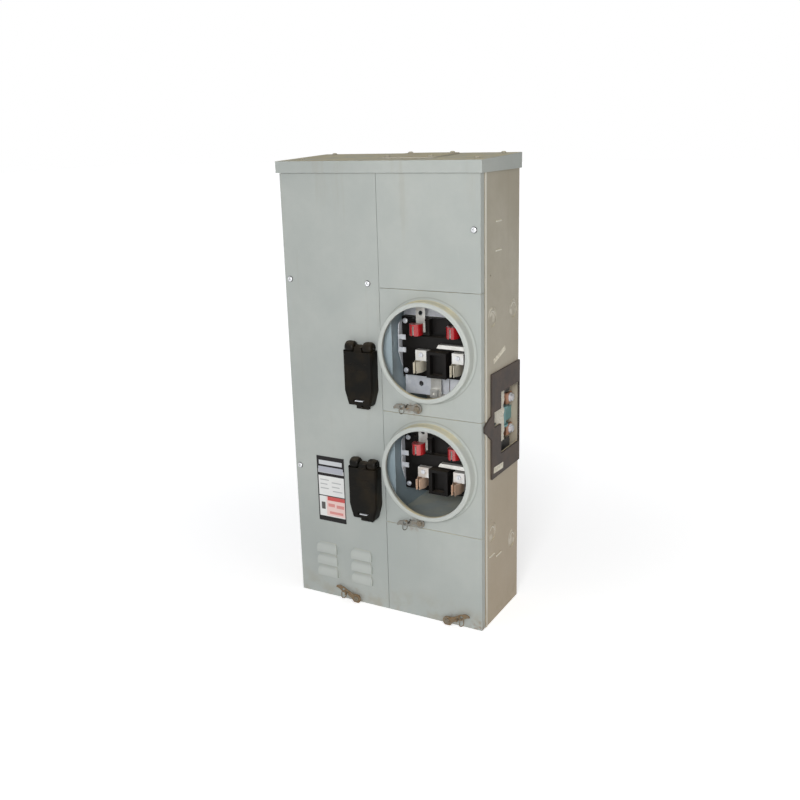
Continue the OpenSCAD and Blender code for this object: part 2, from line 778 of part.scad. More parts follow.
module breaker_handle(z) {
    tilt = 18;
    color([0.16, 0.16, 0.17]) translate([flap_x, handle_y, z + handle_drop]) rotate([-tilt, 0, 0])
        intersection() {
            union() {
                translate([-handle_w / 2, 0, 0]) rotate([0, 90, 0])
                    cylinder(r = drum_r, h = handle_w, $fn = 64);
                for (x = [-8, 8]) facing_side(x - 5) linear_extrude(10)
                    polygon([[-4, 5], [-20, 3.4], [-22.5, 2], [-22.5, -2], [-20, -3.4], [-4, -5]]);
                box([-13, -21.5, -2.2], [13, -16, 2.2]);
            }
            box([-30, -30, -12], [30, 3, 12]);
        }
}

module upper_breaker() { breaker(upper_flap_z); }
module lower_breaker() { breaker(lower_flap_z); }
module upper_breaker_handle() { breaker_handle(upper_flap_z); }
module lower_breaker_handle() { breaker_handle(lower_flap_z); }

// Hat brackets that carry each breaker's top and bottom
module breaker_brackets() {
    y = breaker_back + slot_gap;
    color(plated) for (z = [upper_flap_z, lower_flap_z], d = [-90, -26]) translate([0, 0, z + d]) {
        box([flap_x - 28, y, 0], [flap_x + 28, y + sheet, 16]);
        for (x = [flap_x - 28, flap_x + 28 - sheet])
            box([x, y, 0], [x + sheet, inner_y - slot_gap, 16]);
    }
}

// ---- Meter sockets ----

// Plated tray on two legs, with a wing that bears two tabs beside the socket
module support_tray(z, low) {
    x0 = 12;
    x1 = 178;
    color(plated) translate([0, 0, z]) {
        difference() {
            box([x0, tray_y, low], [x1, tray_y + sheet, tray_top]);
            translate([meter_x, 0, 0]) {
                for (x = [-jaw_dx, jaw_dx]) box([x - 11, tray_y - 1, -50], [x + 11, tray_y + 3, -28]);
                box([jaw_dx - 11, tray_y - 1, 24], [jaw_dx + 11, tray_y + 3, 40]);
                for (x = [-50, 50], h = [tray_top - 8, -78]) translate([x, tray_y - 1, h])
                    rotate([-90, 0, 0]) cylinder(r = 4.5, h = 4, $fn = 40);
            }
            box([100, tray_y - 1, -101], [101.4, tray_y + 3, -64]);
        }
        for (x = [x0, x1 - sheet]) difference() {
            box([x, tray_y + sheet, low], [x + sheet, inner_y - slot_gap, tray_leg]);
            box([x0 - 1, tray_y + 4, -60], [x0 + 3, tray_y + 10, -26]);
        }
        facing_side(x0) linear_extrude(sheet)
            polygon([[tray_y + 0.5, 44], [tray_y - 22, 34], [tray_y - 24, 24], [tray_y - 24, -18],
                [tray_y - 14, -40], [tray_y + 0.5, -64]]);
        for (h = [[6, 15], [-17, -8]]) box([x0, tray_y - 24, h[0]], [x0 + 15, tray_y - 22.6, h[1]]);
    }
}

module upper_support_tray() { support_tray(upper_meter_z, tray_low[0]); }
module lower_support_tray() { support_tray(lower_meter_z, tray_low[1]); }

module socket_block(z) {
    back = tray_y - slot_gap;
    color(moulded) translate([meter_x, 0, z]) difference() {
        union() {
            box([-79, block_y, -60], [83, back, 46]);
            box([-19, block_y - 24, -55], [19, block_y + 1, -9]);
            box([-60, block_y - 12, -7.2], [76, block_y + 1, 15]);
            for (x = [-jaw_dx, jaw_dx]) {
                box([x - 17, block_y - 3, -56], [x + 17, block_y + 1, -2]);
                box([x - 18, line_y + 1, 18], [x + 18, block_y + 1, 46]);
            }
        }
        for (x = [-jaw_dx, jaw_dx]) {
            box([x - 10.4, block_y - 8, -49.4], [x + 10.4, back + 1, -28.6]);
            box([x - 14.4, line_y - 4, 20.5], [x + 14.4, line_y + 4, 42.6]);
            box([x - 10.4, block_y - 8, -50], [x + 16.4, block_y, -7.3]);
        }
        box([-jaw_dx - 9.4, line_y - 4, 42], [-jaw_dx + 9.4, line_y + 4, 47]);
        box([jaw_dx - 10.4, line_y - 4, 24.6], [jaw_dx + 10.4, back + 1, 39.4]);
        box([-12, block_y - 25, -50], [12, block_y - 12, -14]);
        for (x = [-72, 76], h = [-52, 38]) translate([x, block_y - 1, h]) rotate([-90, 0, 0])
            cylinder(r = 2.6, h = 20, $fn = 32);
    }
}

module upper_socket_block() { socket_block(upper_meter_z); }
module lower_socket_block() { socket_block(lower_meter_z); }

// Spring jaw seen from above: two leaves that meet at a flared mouth
module jaw_leaves(h, r) {
    linear_extrude(h, center = true) for (side = [0, 1]) mirror([side, 0])
        polygon([[8, 0], [8, -3 - r], [9.6, -7 - r], [7, -13 - r], [2.6, -18.5 - r], [1.7, -20 - r],
            [4.4, -23.4 - r], [5.8, -23 - r], [3.5, -20 - r], [4.4, -19 - r], [8.6, -14 - r],
            [11.4, -7 - r], [10, -2 - r], [10, 0]]);
}

// reach lengthens the leaves; their base plate stands at y
module jaw(y, z_mid, h, reach) {
    translate([0, y, z_mid]) scale([jaw_narrow, 1, 1]) {
        jaw_leaves(h, reach);
        box([-10, 0, -h / 2], [10, 2.4, h / 2]);
    }
}

module line_jaws(z) {
    color(plated) for (x = [-jaw_dx, jaw_dx]) translate([meter_x + x, 0, z])
        jaw(line_y, line_jaw_dz, 18, 0);
}

module load_jaws(z) {
    color(copper) for (x = [-jaw_dx, jaw_dx]) translate([meter_x + x, 0, z]) {
        jaw(jaw_y, -jaw_dz + 0.5, 20, jaw_reach);
        difference() {
            box([-6, jaw_y - 18, -26.5], [16, jaw_y, -7.5]);
            translate([5, jaw_y - 19, -16]) rotate([-90, 0, 0]) cylinder(r = 4.2, h = 12, $fn = 40);
        }
        box([-10, jaw_y, -30], [16, jaw_y + 2.4, -7.5]);
    }
}

module upper_line_jaws() { line_jaws(upper_meter_z); }
module lower_line_jaws() { line_jaws(lower_meter_z); }
module upper_load_jaws() { load_jaws(upper_meter_z); }
module lower_load_jaws() { load_jaws(lower_meter_z); }

// Red insulating caps over the line jaws, slit for the meter's blade
module jaw_caps(z) {
    color(red_cap) for (x = [-jaw_dx, jaw_dx]) translate([meter_x + x, 0, z + line_jaw_dz]) difference() {
        translate([0, 0, -9.5]) linear_extrude(20.5) cap_outline(cap_r, cap_y + 6);
        translate([0, 0, -11]) linear_extrude(20.1) cap_outline(cap_r - 1.6, cap_y + 8);
        box([-1.5, cap_y - 30, -11], [1.5, cap_y - 5, 8]);
    }
}

module cap_outline(r, back) {
    difference() {
        union() {
            translate([0, cap_y]) circle(r, $fn = 64);
            square_from([-r, cap_y], [r, back]);
        }
        square_from([-r - 1, back], [r + 1, cap_y + r + 1]);
    }
}

module upper_jaw_caps() { jaw_caps(upper_meter_z); }
module lower_jaw_caps() { jaw_caps(lower_meter_z); }

module set_screw(length) {
    difference() {
        cylinder(r = 3.9, h = length, $fn = 40);
        translate([0, 0, length]) cube([1.4, 9, 3], center = true);
    }
}

module socket_screws() {
    color(plated) for (m = meters) translate([m[0], 0, m[1]]) {
        for (x = [-jaw_dx, jaw_dx]) translate([x + 5, jaw_y - 7.5, -16]) rotate([90, 0, 0]) set_screw(12);
        for (x = [-72, 76], h = [-52, 38]) translate([x, block_y - slot_gap, h])
            rotate([90, 0, 0]) pan_screw(13, 2.3);
    }
}

// Plated straps across each socket: the bar at the right and the centre tongue
module cross_straps() {
    color(plated) for (m = meters) translate([m[0], 0, m[1]]) {
        difference() {
            facing_front(block_y - 12.1) linear_extrude(10)
                polygon([[0, -1.5], [4, 5], [74, 5], [74, -2.5]]);
            translate([66, block_y - 30, 1]) rotate([-90, 0, 0]) cylinder(r = 2, h = 20, $fn = 32);
        }
    }
    color(plated) translate([meter_x, 0, upper_meter_z]) difference() {
        union() {
            box([-22, block_y - 2.4, -96], [-2, block_y, -61]);
            box([-22, block_y - 2.4, -96], [-2, tray_y - slot_gap, -93]);
            box([-19, block_y - 12, -94], [-5, block_y - 2, -80]);
        }
        translate([-12, block_y - 20, -87]) rotate([-90, 0, 0]) cylinder(r = 3.2, h = 12, $fn = 32);
    }
}

// From each load jaw back through the block, then left to the breaker
module load_straps() {
    y0 = tray_y + sheet + 4;
    color(copper) for (m = meters) translate([m[0], 0, m[1]]) for (side = [0, 1]) {
        x = side == 0 ? -jaw_dx : jaw_dx;
        z = side == 0 ? -40 : -58;
        end = flap_x - m[0] + (side == 0 ? -12 : 12);
        box([x - 8, jaw_y + 2.5, -44], [x + 8, y0 + 3, -40]);
        box([x - 8, y0, min(z, -44)], [x + 8, y0 + 3, -32]);
        box([end - 6, y0, z], [x + 8, y0 + 3, z + 12]);
        box([end - 6, breaker_back + slot_gap, z], [end + 6, y0 + 0.5, z + 12]);
    }
}

// Painted barrier under the lower socket
module lower_shelf() {
    z = lower_seam_z + 6;
    color(steel_green) {
        box([partition_x + sheet + slot_gap, rail_y + 8, z],
            [inner_x - joggle - 0.2, inner_y - slot_gap, z + sheet]);
        box([partition_x + sheet + slot_gap, inner_y - sheet - slot_gap, z],
            [inner_x - joggle - 0.2, inner_y - slot_gap, z + 24]);
    }
}

// ---- Bus ----

// Bars across the section: each turns a tab to the window for the link's bolt
module bus_bars() {
    color(copper) for (z = [bus_a_z, bus_b_z]) difference() {
        union() {
            box([20, bus_y, z - bus_h / 2], [bus_end, bus_y + bus_t, z + bus_h / 2]);
            box([bus_end - 3, bus_y, z - bus_h / 2], [bus_end, inner_y - 2, z + bus_h / 2]);
        }
        translate([bus_end - 5, bus_bolt_y, z]) rotate([0, 90, 0]) cylinder(r = 3.4, h = 8, $fn = 40);
    }
}

module bus_bolts() {
    color(plated) for (z = [bus_a_z, bus_b_z]) translate([bus_end + slot_gap, bus_bolt_y, z])
        rotate([0, 90, 0]) {
            cylinder(r = 8.6, h = 1.4, $fn = 48);
            translate([0, 0, 1.3]) cylinder(r = 7, h = 4.6, $fn = 6);
            translate([0, 0, -6.5]) cylinder(r = 3.2, h = 9, $fn = 40);
        }
}

// One strap per line jaw: side 0 goes over the tray, side 1 straight back through it
module line_risers() {
    y0 = 20;
    t = 3;
    color(plated) for (i = [0, 1], side = [0, 1]) {
        m = meters[i];
        leg = side == 0 ? bus_a_z + (i == 0 ? 3 : -6) : bus_b_z + (i == 0 ? 5 : -7);
        turn = side == 0 ? 66 : 30;
        top = m[1] + turn;
        translate([m[0] + (side == 0 ? -jaw_dx : jaw_dx), 0, 0]) difference() {
            union() {
                if (side == 0) box([-9, line_y + 2.5, m[1] + 22.3], [9, line_y + 0.9 + t, top + t]);
                box([-9, line_y + 2.5, top], [9, y0 + t, top + t]);
                box([-9, y0, min(leg, top)], [9, y0 + t, max(leg, top) + t]);
                box([-9, y0, leg], [9, bus_y - slot_gap, leg + t]);
            }
            if (side == 0) translate([0, line_y - 2, m[1] + 56]) rotate([-90, 0, 0])
                cylinder(r = 4.2, h = 12, $fn = 40);
        }
    }
}

// Moulded stand-off between the two bus bars at the window
module bus_barrier() {
    z = (bus_a_z + bus_b_z) / 2;
    color([0.33, 0.55, 0.55]) translate([barrier_at[0], barrier_at[1], z]) difference() {
        union() {
            cylinder(r = 12, h = 38, center = true, $fn = 64);
            for (h = [-19, 15]) translate([0, 0, h]) cylinder(r = 15.5, h = 4, $fn = 64);
            box([-9, 0, -12], [9, inner_y - barrier_at[1] - slot_gap, 12]);
        }
        cylinder(r = 4, h = 60, center = true, $fn = 40);
    }
}

// Creased insulating sheet beside the bus, with a tongue in the nose of the window
module bus_insulator() {
    x0 = 184;
    x1 = 188.6;
    color([0.86, 0.83, 0.74]) facing_side(x0) linear_extrude(x1 - x0) {
        polygon([[-6, 318], [27, 318], [29, 338], [27.5, 352], [29.5, 400], [26, 424], [-6, 424]]);
        square_from([-32, nose_z - 14], [-5.9, nose_z + 10]);
    }
}

module neutral_bar() {
    color([0.78, 0.78, 0.76]) {
        difference() {
            box([-140, 58, 330], [-122, 70, 560]);
            for (i = [0:9]) translate([-131, 50, 350 + i * 21]) rotate([-90, 0, 0])
                cylinder(r = 1.9, h = 30, $fn = 32);
        }
        for (z = [336, 548]) box([-137, 70, z], [-125, inner_y - slot_gap, z + 8]);
    }
}

case_wrap();
top_wall();
bottom_wall();
rain_cap();
hub_plate();
case_screws();
partition_wall();
centre_rail();
cross_rails();
side_knockouts();
bus_window_frame();
side_closing_plate();
cover_staples();
upper_support_tray();
lower_support_tray();
upper_socket_block();
lower_socket_block();
upper_line_jaws();
lower_line_jaws();
upper_load_jaws();
lower_load_jaws();
upper_jaw_caps();
lower_jaw_caps();
socket_screws();
cross_straps();
load_straps();
lower_shelf();
bus_bars();
neutral_bar();
bus_barrier();
bus_insulator();
bus_bolts();
line_risers();
breaker_brackets();
upper_breaker();
lower_breaker();
upper_breaker_handle();
lower_breaker_handle();
breaker_cover();
breaker_cover_screws();
rating_plate();
flap_hasps();
upper_flap_bezel();
lower_flap_bezel();
flap_pins();
upper_flap();
lower_flap();
top_blank_cover();
top_cover_screw();
upper_meter_cover();
lower_meter_cover();
bottom_blank_cover();
upper_latch();
lower_latch();
left_latch();
bottom_latch();
upper_seal_loop();
lower_seal_loop();
left_seal_loop();
bottom_seal_loop();
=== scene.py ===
import bmesh
import bpy
import json
import math
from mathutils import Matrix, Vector, noise


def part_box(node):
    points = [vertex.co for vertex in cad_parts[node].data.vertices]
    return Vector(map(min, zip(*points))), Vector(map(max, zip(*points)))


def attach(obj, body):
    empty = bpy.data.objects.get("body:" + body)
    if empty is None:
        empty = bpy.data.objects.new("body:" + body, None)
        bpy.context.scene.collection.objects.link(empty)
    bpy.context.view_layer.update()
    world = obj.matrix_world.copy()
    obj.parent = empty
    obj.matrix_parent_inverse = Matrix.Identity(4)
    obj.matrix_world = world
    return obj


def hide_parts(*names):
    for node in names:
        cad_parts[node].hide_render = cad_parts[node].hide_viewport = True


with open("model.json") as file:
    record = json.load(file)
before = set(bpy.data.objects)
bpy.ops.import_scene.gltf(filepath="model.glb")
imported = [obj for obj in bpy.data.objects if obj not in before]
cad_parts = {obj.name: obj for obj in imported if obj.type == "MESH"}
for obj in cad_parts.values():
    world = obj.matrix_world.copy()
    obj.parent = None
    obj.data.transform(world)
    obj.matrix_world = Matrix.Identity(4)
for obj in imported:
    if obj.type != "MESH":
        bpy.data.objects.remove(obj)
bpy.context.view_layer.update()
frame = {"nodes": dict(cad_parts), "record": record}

record = frame["record"]
bodyOf = {n: b for b, members in record["behaviour"]["bodies"].items() for n in members}
slotOf = {s["node"]: s["material_slot"] for s in record["subparts"]}
mm = 0.001
mergeGap = 1e-6   # corners closer than this are one corner
print("frame loaded:", len(frame["nodes"]), "nodes")


# shader maths

class Sock:   # a shader output that takes arithmetic
    def __init__(self, tree, out):
        self.tree, self.out = tree, out

    def math(self, operation, *others):
        return self.tree.node("Math", {"operation": operation}, dict(enumerate((self,) + others)))

    def __add__(self, other): return self.math("ADD", other)
    __radd__ = __add__
    def __mul__(self, other): return self.math("MULTIPLY", other)
    __rmul__ = __mul__
    def __sub__(self, other): return self.math("SUBTRACT", other)
    def __rsub__(self, other): return (self * -1) + other
    def __truediv__(self, other): return self.math("DIVIDE", other)
    def __pow__(self, other): return self.math("POWER", other)
    def most(self, other): return self.math("MAXIMUM", other)

    def ramp(self, low, high):   # 0 below low, 1 above high, smooth between
        return self.tree.node("MapRange", {"interpolation_type": "SMOOTHSTEP"},
                              {0: self, 1: low, 2: high, 3: 0.0, 4: 1.0})


class Finish:
    def __init__(self, name):
        self.material = bpy.data.materials.new(name)
        self.material.use_nodes = True
        self.nodes = self.material.node_tree.nodes
        self.links = self.material.node_tree.links
        self.nodes.clear()
        self.place = self.node("TexCoord", {}, {}, "Object")
        xyz = self.node("SeparateXYZ", {}, {0: self.place}, None)
        self.x, self.y, self.z = (Sock(self, o) for o in xyz.outputs)
        self.facing = self.node("SeparateXYZ", {}, {0: self.node("NewGeometry", {}, {}, "Normal")}, None)
        self.up = Sock(self, self.facing.outputs[2])

    def node(self, kind, settings, sockets, out=0):
        n = self.nodes.new("ShaderNode" + kind)
        for key, value in settings.items():
            setattr(n, key, value)
        for key, value in sockets.items():
            s = n.inputs[key]
            if isinstance(value, Sock):
                self.links.new(value.out, s)
            elif s.type == "RGBA" and len(value) == 3:
                s.default_value = (*value, 1)
            else:
                s.default_value = value
        return n if out is None else Sock(self, n.outputs[out])

    def stretch(self, sx, sy, sz):   # the place, scaled on each axis
        return self.node("Mapping", {}, {"Vector": self.place, "Scale": (sx, sy, sz)})

    def noise(self, size, detail=3.0, rough=0.5, at=None, seed=0.0):   # size in metres
        return self.node("TexNoise", {"noise_dimensions": "4D"},
                         {"Vector": at or self.place, "W": seed, "Scale": 1 / size, "Detail": detail,
                          "Roughness": rough})

    def patches(self, size, low, high, seed, detail=4, rough=0.6):   # noise, cut to patches
        return self.noise(size, detail, rough, seed=seed).ramp(low, high)

    def cells(self, size, seed=0.0, out="Distance"):
        return self.node("TexVoronoi", {"voronoi_dimensions": "4D"},
                         {"Vector": self.place, "W": seed, "Scale": 1 / size}, out)

    def mix(self, factor, a, b):   # colour a where factor is 0, b where it is 1
        return self.node("Mix", {"data_type": "RGBA"}, {0: factor, 6: a, 7: b}, 2)

    def near(self, x, y, z, low, high):   # 1 close to a place in metres, 0 further than high
        gap = self.node("VectorMath", {"operation": "DISTANCE"}, {0: self.place, 1: (x, y, z)}, "Value")
        return 1 - gap.ramp(low, high)

    def band(self, value, low, high, soft):   # 1 between low and high
        return value.ramp(low - soft, low + soft) * (1 - value.ramp(high - soft, high + soft))

    def finish(self, color, rough, metal=0.0, height=None, depth=0.0002, strength=1.0, **fixed):
        sockets = {"Base Color": color, "Roughness": rough, "Metallic": metal}
        if height is not None:
            sockets["Normal"] = self.node("Bump", {}, {"Height": height, "Distance": depth,
                                                       "Strength": strength})
        sockets.update({k.replace("_", " "): v for k, v in fixed.items()})
        shader = self.node("BsdfPrincipled", {}, sockets)
        self.node("OutputMaterial", {}, {"Surface": shader}, None)
        return self.material


def srgb(r, g, b):   # 0 to 255 as seen, to the linear values that shaders take
    return tuple(((c / 255 + 0.055) / 1.055) ** 2.4 if c > 10 else c / 255 / 12.92 for c in (r, g, b))


# finishes

enamelSettings = {
    "green": {"color": srgb(181, 185, 180), "dull": srgb(169, 174, 170), "stain": srgb(150, 133, 104)},
    "beige": {"color": srgb(182, 177, 163), "dull": srgb(164, 157, 140), "stain": srgb(140, 118, 88)},
    "inside": {"color": srgb(172, 186, 192), "dull": srgb(146, 162, 170), "stain": srgb(110, 108, 100)},
}
wearSettings = {   # sizes in metres, then how strongly each kind of wear shows
    "cloud": 0.16, "mottle": 0.012, "runs": 0.02, "foot": 0.07, "grime": 0.03, "spot": 0.008,
    "chip": 0.011, "chipGroup": 0.05, "scratch": 0.0011, "scratchGroup": 0.07, "peel": 0.0016,
    "dent": 0.06, "bump": 0.00018,
    "mottleMix": 0.18, "runsMix": 0.13, "footMix": 0.35, "rustMix": 0.55, "chipMix": 0.6,
    "scratchMix": 0.35,
    "rust": srgb(128, 92, 56), "dust": srgb(230, 218, 178), "primer": srgb(96, 92, 84),
    "bare": srgb(206, 206, 200),
}
raisedSettings = {   # painted highlight on the louvers and the collars, painted shade round each collar's foot and on its inner wall
    "proud": 0.001, "soft": 0.003, "below": (0.70, 0.74), "mix": 0.32, "color": srgb(206, 209, 203),
    "foot": (0.0120, 0.0140), "footSoft": 0.0008, "footMix": 0.4, "footColor": srgb(124, 126, 120),
    "inner": (0.0006, 0.0014), "innerDeep": (-0.002, 0.001), "innerMix": 0.75,
    "innerColor": srgb(82, 80, 76),
}
sideSettings = {   # paint on the walls: browner to the foot, with a painted highlight on raised edges and on patches of the knockouts
    "brownHigh": 0.7, "brownMix": 0.55, "brown": srgb(184, 164, 138),
    "edge": (0.00058, 0.0009), "edgeMix": 0.75, "edgeColor": srgb(226, 224, 214),
    "disc": (-0.00012, 0.0001), "discSoft": 0.00005, "rub": 0.018, "discMix": 0.6,
    "discColor": srgb(222, 218, 206),
}
studSettings = {"head": (0.0062, 0.0066), "face": (-0.0846, -0.0842), "grain": 0.002,
                "dark": srgb(104, 92, 74), "pale": srgb(134, 126, 112)}
rustCore = 0.006
rustPlaces = [   # x, y, z and reach of the rust spots, in metres
    (-0.075, -0.08, 0.004, 0.030), (0.135, -0.08, 0.004, 0.028), (0.190, -0.08, 0.0, 0.030),
    (0.060, -0.08, 0.182, 0.020), (0.060, -0.08, 0.398, 0.020)]
wallX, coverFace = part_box("side_knockouts")[1][0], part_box("top_blank_cover")[0][1]


def paintedLightOnRaised(f, color, s=raisedSettings):
    # painted highlight: whatever stands proud of the covers is mixed towards a paler colour
    raised = (coverFace - s["proud"] - f.y).ramp(0, s["soft"]) * (1 - f.z.ramp(*s["below"]))
    color = f.mix(raised * s["mix"], color, s["color"])
    for m in record["mounts"]:   # painted shade round the foot of each collar and on its inner wall
        if m["name"].endswith("meter_ring"):
            (x, y, z), r = m["pos_m"], m["dims"]["r_mm"] * mm
            across, tall = f.x - x, f.z - z
            reach = (across * across + tall * tall) ** 0.5
            foot = f.band(reach, r + s["foot"][0], r + s["foot"][1], s["footSoft"])
            color = f.mix(foot * s["footMix"], color, s["footColor"])
            inner = (1 - reach.ramp(r + s["inner"][0], r + s["inner"][1])) * (f.y - y).ramp(*s["innerDeep"])
            color = f.mix(inner * s["innerMix"], color, s["innerColor"])
    return color


def sideTintAndHighlight(f, color, s=sideSettings):
    color = f.mix((1 - f.z.ramp(0.0, s["brownHigh"])) * s["brownMix"], color, s["brown"])
    # painted highlight on whatever stands proud of the wall, such as the lances and the knockout crescents
    color = f.mix((f.x - wallX).ramp(*s["edge"]) * s["edgeMix"], color, s["edgeColor"])
    disc = f.band(f.x, wallX + s["disc"][0], wallX + s["disc"][1], s["discSoft"])
    # painted highlight on patches of the knockout discs
    rubbed = f.patches(s["rub"], 0.4, 0.6, 14, 2, 0.5)
    return f.mix(disc * rubbed * s["discMix"], color, s["discColor"])


def studHeads(f, color, s=studSettings):   # the bare heads of the studs in the latches
    for j in record["behaviour"]["joints"]:
        if j["name"].endswith("latch_pivot"):
            head = f.near(*j["pos_m"], *s["head"]) * (1 - f.y.ramp(*s["face"]))
            grain = f.patches(s["grain"], 0.4, 0.6, 13)
            color = f.mix(head, color, f.mix(grain, s["dark"], s["pale"]))
    return color


def enamel(name, kind, dusty=0.8, w=wearSettings):
    s = enamelSettings[kind]
    f = Finish(name)
    cloud = f.noise(w["cloud"], 4, 0.55, seed=1)
    mottle = f.noise(w["mottle"], 3, 0.6, seed=2)
    color = f.mix(cloud.ramp(0.3, 0.7), s["dull"], s["color"])
    color = f.mix((mottle.ramp(0.35, 0.65)) * w["mottleMix"], color, s["dull"])
    runs = f.noise(w["runs"], 4, 0.6, at=f.stretch(1, 1, 0.06), seed=3)   # rain runs
    color = f.mix(runs.ramp(0.56, 0.74) * w["runsMix"], color, s["stain"])
    if kind == "green":
        color = paintedLightOnRaised(f, color)
    if kind == "beige":
        color = sideTintAndHighlight(f, color)
    low = (1 - f.z.ramp(0.0, w["foot"])) * f.patches(w["grime"], 0.45, 0.7, 5)
    color = f.mix(low * w["footMix"], color, s["stain"])
    (*first, firstReach), *others = rustPlaces
    spots = f.near(*first, rustCore, firstReach)
    for *place, reach in others:
        spots = spots.most(f.near(*place, rustCore, reach))
    spots = spots * f.patches(w["spot"], 0.42, 0.62, 6, rough=0.65)
    color = f.mix(spots * w["rustMix"], color, w["rust"])
    dust = f.up.ramp(0.55, 0.95) * (0.55 + 0.45 * f.patches(w["grime"], 0.35, 0.6, 7))
    color = studHeads(f, f.mix(dust * dusty, color, w["dust"]))
    fleck = 1 - f.cells(w["chip"], 4).ramp(0.05, 0.09)   # tiny chips down to grey primer
    chips = fleck * f.patches(w["chipGroup"], 0.62, 0.7, 8, 3)
    color = f.mix(chips * w["chipMix"], color, w["primer"])
    scratch = f.noise(w["scratch"], 1, 0.5, at=f.stretch(1, 1, 0.02), seed=9).ramp(0.73, 0.78)
    scratch = scratch * f.patches(w["scratchGroup"], 0.6, 0.68, 10, 2, 0.5)
    color = f.mix(scratch * w["scratchMix"], color, w["bare"])
    rough = 0.42 + 0.12 * cloud + 0.25 * dust + 0.1 * mottle
    peel = f.noise(w["peel"], 2, 0.5, seed=11) * 0.5 + f.noise(w["dent"], 2, 0.5, seed=12) * 2.2
    return f.finish(color, rough, 0.0, peel - chips * 0.6, w["bump"], 0.55, Specular_IOR_Level=0.3)


platingSettings = {   # metres; the leaves of a jaw start below its clamp and in front of its foot
    "spangle": 0.006, "brush": 0.0006, "haze": 0.02, "speck": 0.004, "bump": 0.00006,
    "clamp": 0.0193, "clampSoft": 0.0003, "foot": 0.004, "footSoft": 0.0005,
    "speckColor": srgb(92, 84, 74),
}


def plating(name, color, dark, rough, seed=20, metal=1.0, leaves=None, leafColor=None):
    s, f = platingSettings, Finish(name)
    tone = f.node("SeparateColor", {}, {0: f.cells(s["spangle"], seed, "Color")})
    brush = f.noise(s["brush"], 2, 0.5, at=f.stretch(1, 1, 0.08), seed=seed + 1)
    haze = f.noise(s["haze"], 4, 0.6, seed=seed + 2)
    base = f.mix(haze.ramp(0.35, 0.7) * 0.5, color, dark)
    base = f.mix(tone * 0.22, base, dark)
    if leaves:   # the node whose sprung leaves have a colour of their own
        _, (_, yHigh, zHigh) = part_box(leaves)
        sprung = (zHigh - s["clamp"] - f.z).ramp(0, s["clampSoft"])
        sprung = sprung * (yHigh - s["foot"] - f.y).ramp(0, s["footSoft"])
        base = f.mix(sprung, base, f.mix(haze.ramp(0.3, 0.7) * 0.6, leafColor, dark))
    specks = f.patches(s["speck"], 0.66, 0.76, seed + 3, rough=0.7)
    base = f.mix(specks * 0.5, base, s["speckColor"])
    return f.finish(base, rough + 0.16 * haze + 0.1 * brush + 0.2 * specks, metal - 0.5 * metal * specks,
                    brush + 0.4 * tone, s["bump"], 0.6)


screwSteelSettings = {"haze": 0.003, "crown": (0.55, 0.92), "bump": 0.00004, "rim": srgb(52, 52, 54),
                      "bright": srgb(226, 228, 230), "dull": srgb(150, 150, 152)}


def screwSteel(name):   # a painted highlight on the crown where the head faces front, painted shade on its rim
    s, f = screwSteelSettings, Finish(name)
    crown = (Sock(f, f.facing.outputs[1]) * -1).ramp(*s["crown"])
    haze = f.noise(s["haze"], 4, 0.6, seed=120)
    base = f.mix(haze.ramp(0.35, 0.7) * 0.4, s["bright"], s["dull"])
    # painted shade on the rim and painted highlight on the crown, both from which way the head faces
    base = f.mix(crown, s["rim"], base)
    return f.finish(base, 0.5 - 0.22 * crown + 0.1 * haze, 0.35 + 0.45 * crown, haze, s["bump"], 0.4)


galvanisedSettings = {   # the edge of the painted shade is in x, beside the bus window
    "spangle": 0.007, "haze": 0.03, "mark": 0.005, "grimeEdge": (0.168, 0.175), "bump": 0.00006,
    "bright": srgb(240, 241, 244), "dull": srgb(214, 218, 226), "grain": srgb(186, 192, 204),
    "markColor": srgb(120, 122, 126), "grime": srgb(48, 46, 46),
}


def galvanised(name):   # matt zinc, pale and only a little metallic to the eye
    s, f = galvanisedSettings, Finish(name)
    tone = f.node("SeparateColor", {}, {0: f.cells(s["spangle"], 110, "Color")})
    haze = f.noise(s["haze"], 4, 0.6, seed=111)
    base = f.mix(haze.ramp(0.35, 0.7) * 0.5, s["bright"], s["dull"])
    base = f.mix(tone * 0.25, base, s["grain"])
    marks = f.patches(s["mark"], 0.64, 0.74, 112, rough=0.7)
    base = f.mix(marks * 0.4, base, s["markColor"])
    # painted shade on the trays beside the bus window
    base = f.mix(f.x.ramp(*s["grimeEdge"]) * 0.9, base, s["grime"])
    return f.finish(base, 0.4 + 0.18 * haze + 0.15 * marks, 0.25 - 0.15 * marks, tone + haze,
                    s["bump"], 0.5)


mouldingSettings = {"haze": 0.035, "fine": 0.0009, "dust": 0.012, "scuff": 0.0024, "bump": 0.00008,
                    "coatRough": 0.12, "dustColor": srgb(118, 108, 94)}


def moulding(name, color, pale, rough, seed=40, coat=0.0, scuffs=0.35, sheen=0.5):
    s, f = mouldingSettings, Finish(name)
    haze = f.noise(s["haze"], 4, 0.55, seed=seed)
    fine = f.noise(s["fine"], 3, 0.6, seed=seed + 1)
    base = f.mix(haze.ramp(0.4, 0.7) * 0.45, color, pale)
    dust = f.up.ramp(0.3, 0.95) * f.patches(s["dust"], 0.3, 0.62, seed + 2)
    base = f.mix(dust * 0.35, base, s["dustColor"])
    scuff = f.noise(s["scuff"], 3, 0.6, at=f.stretch(0.25, 1, 1), seed=seed + 3).ramp(0.66, 0.76)
    base = f.mix(scuff * scuffs, base, pale)
    return f.finish(base, rough + 0.14 * haze + 0.25 * dust + 0.12 * scuff, 0.0, fine + 0.3 * scuff,
                    s["bump"], 0.5, Coat_Weight=coat, Coat_Roughness=s["coatRough"],
                    Specular_IOR_Level=sheen)


rustySettings = {   # the lowest latches have rusted most
    "patch": 0.007, "grit": 0.0012, "crust": 0.004, "worse": (0.05, 0.15), "worseBy": 0.2,
    "rust": (0.53, 0.68), "bump": 0.00025, "steel": srgb(124, 123, 117), "dark": srgb(96, 76, 54),
    "pale": srgb(146, 120, 86), "crustColor": srgb(128, 116, 94),
}


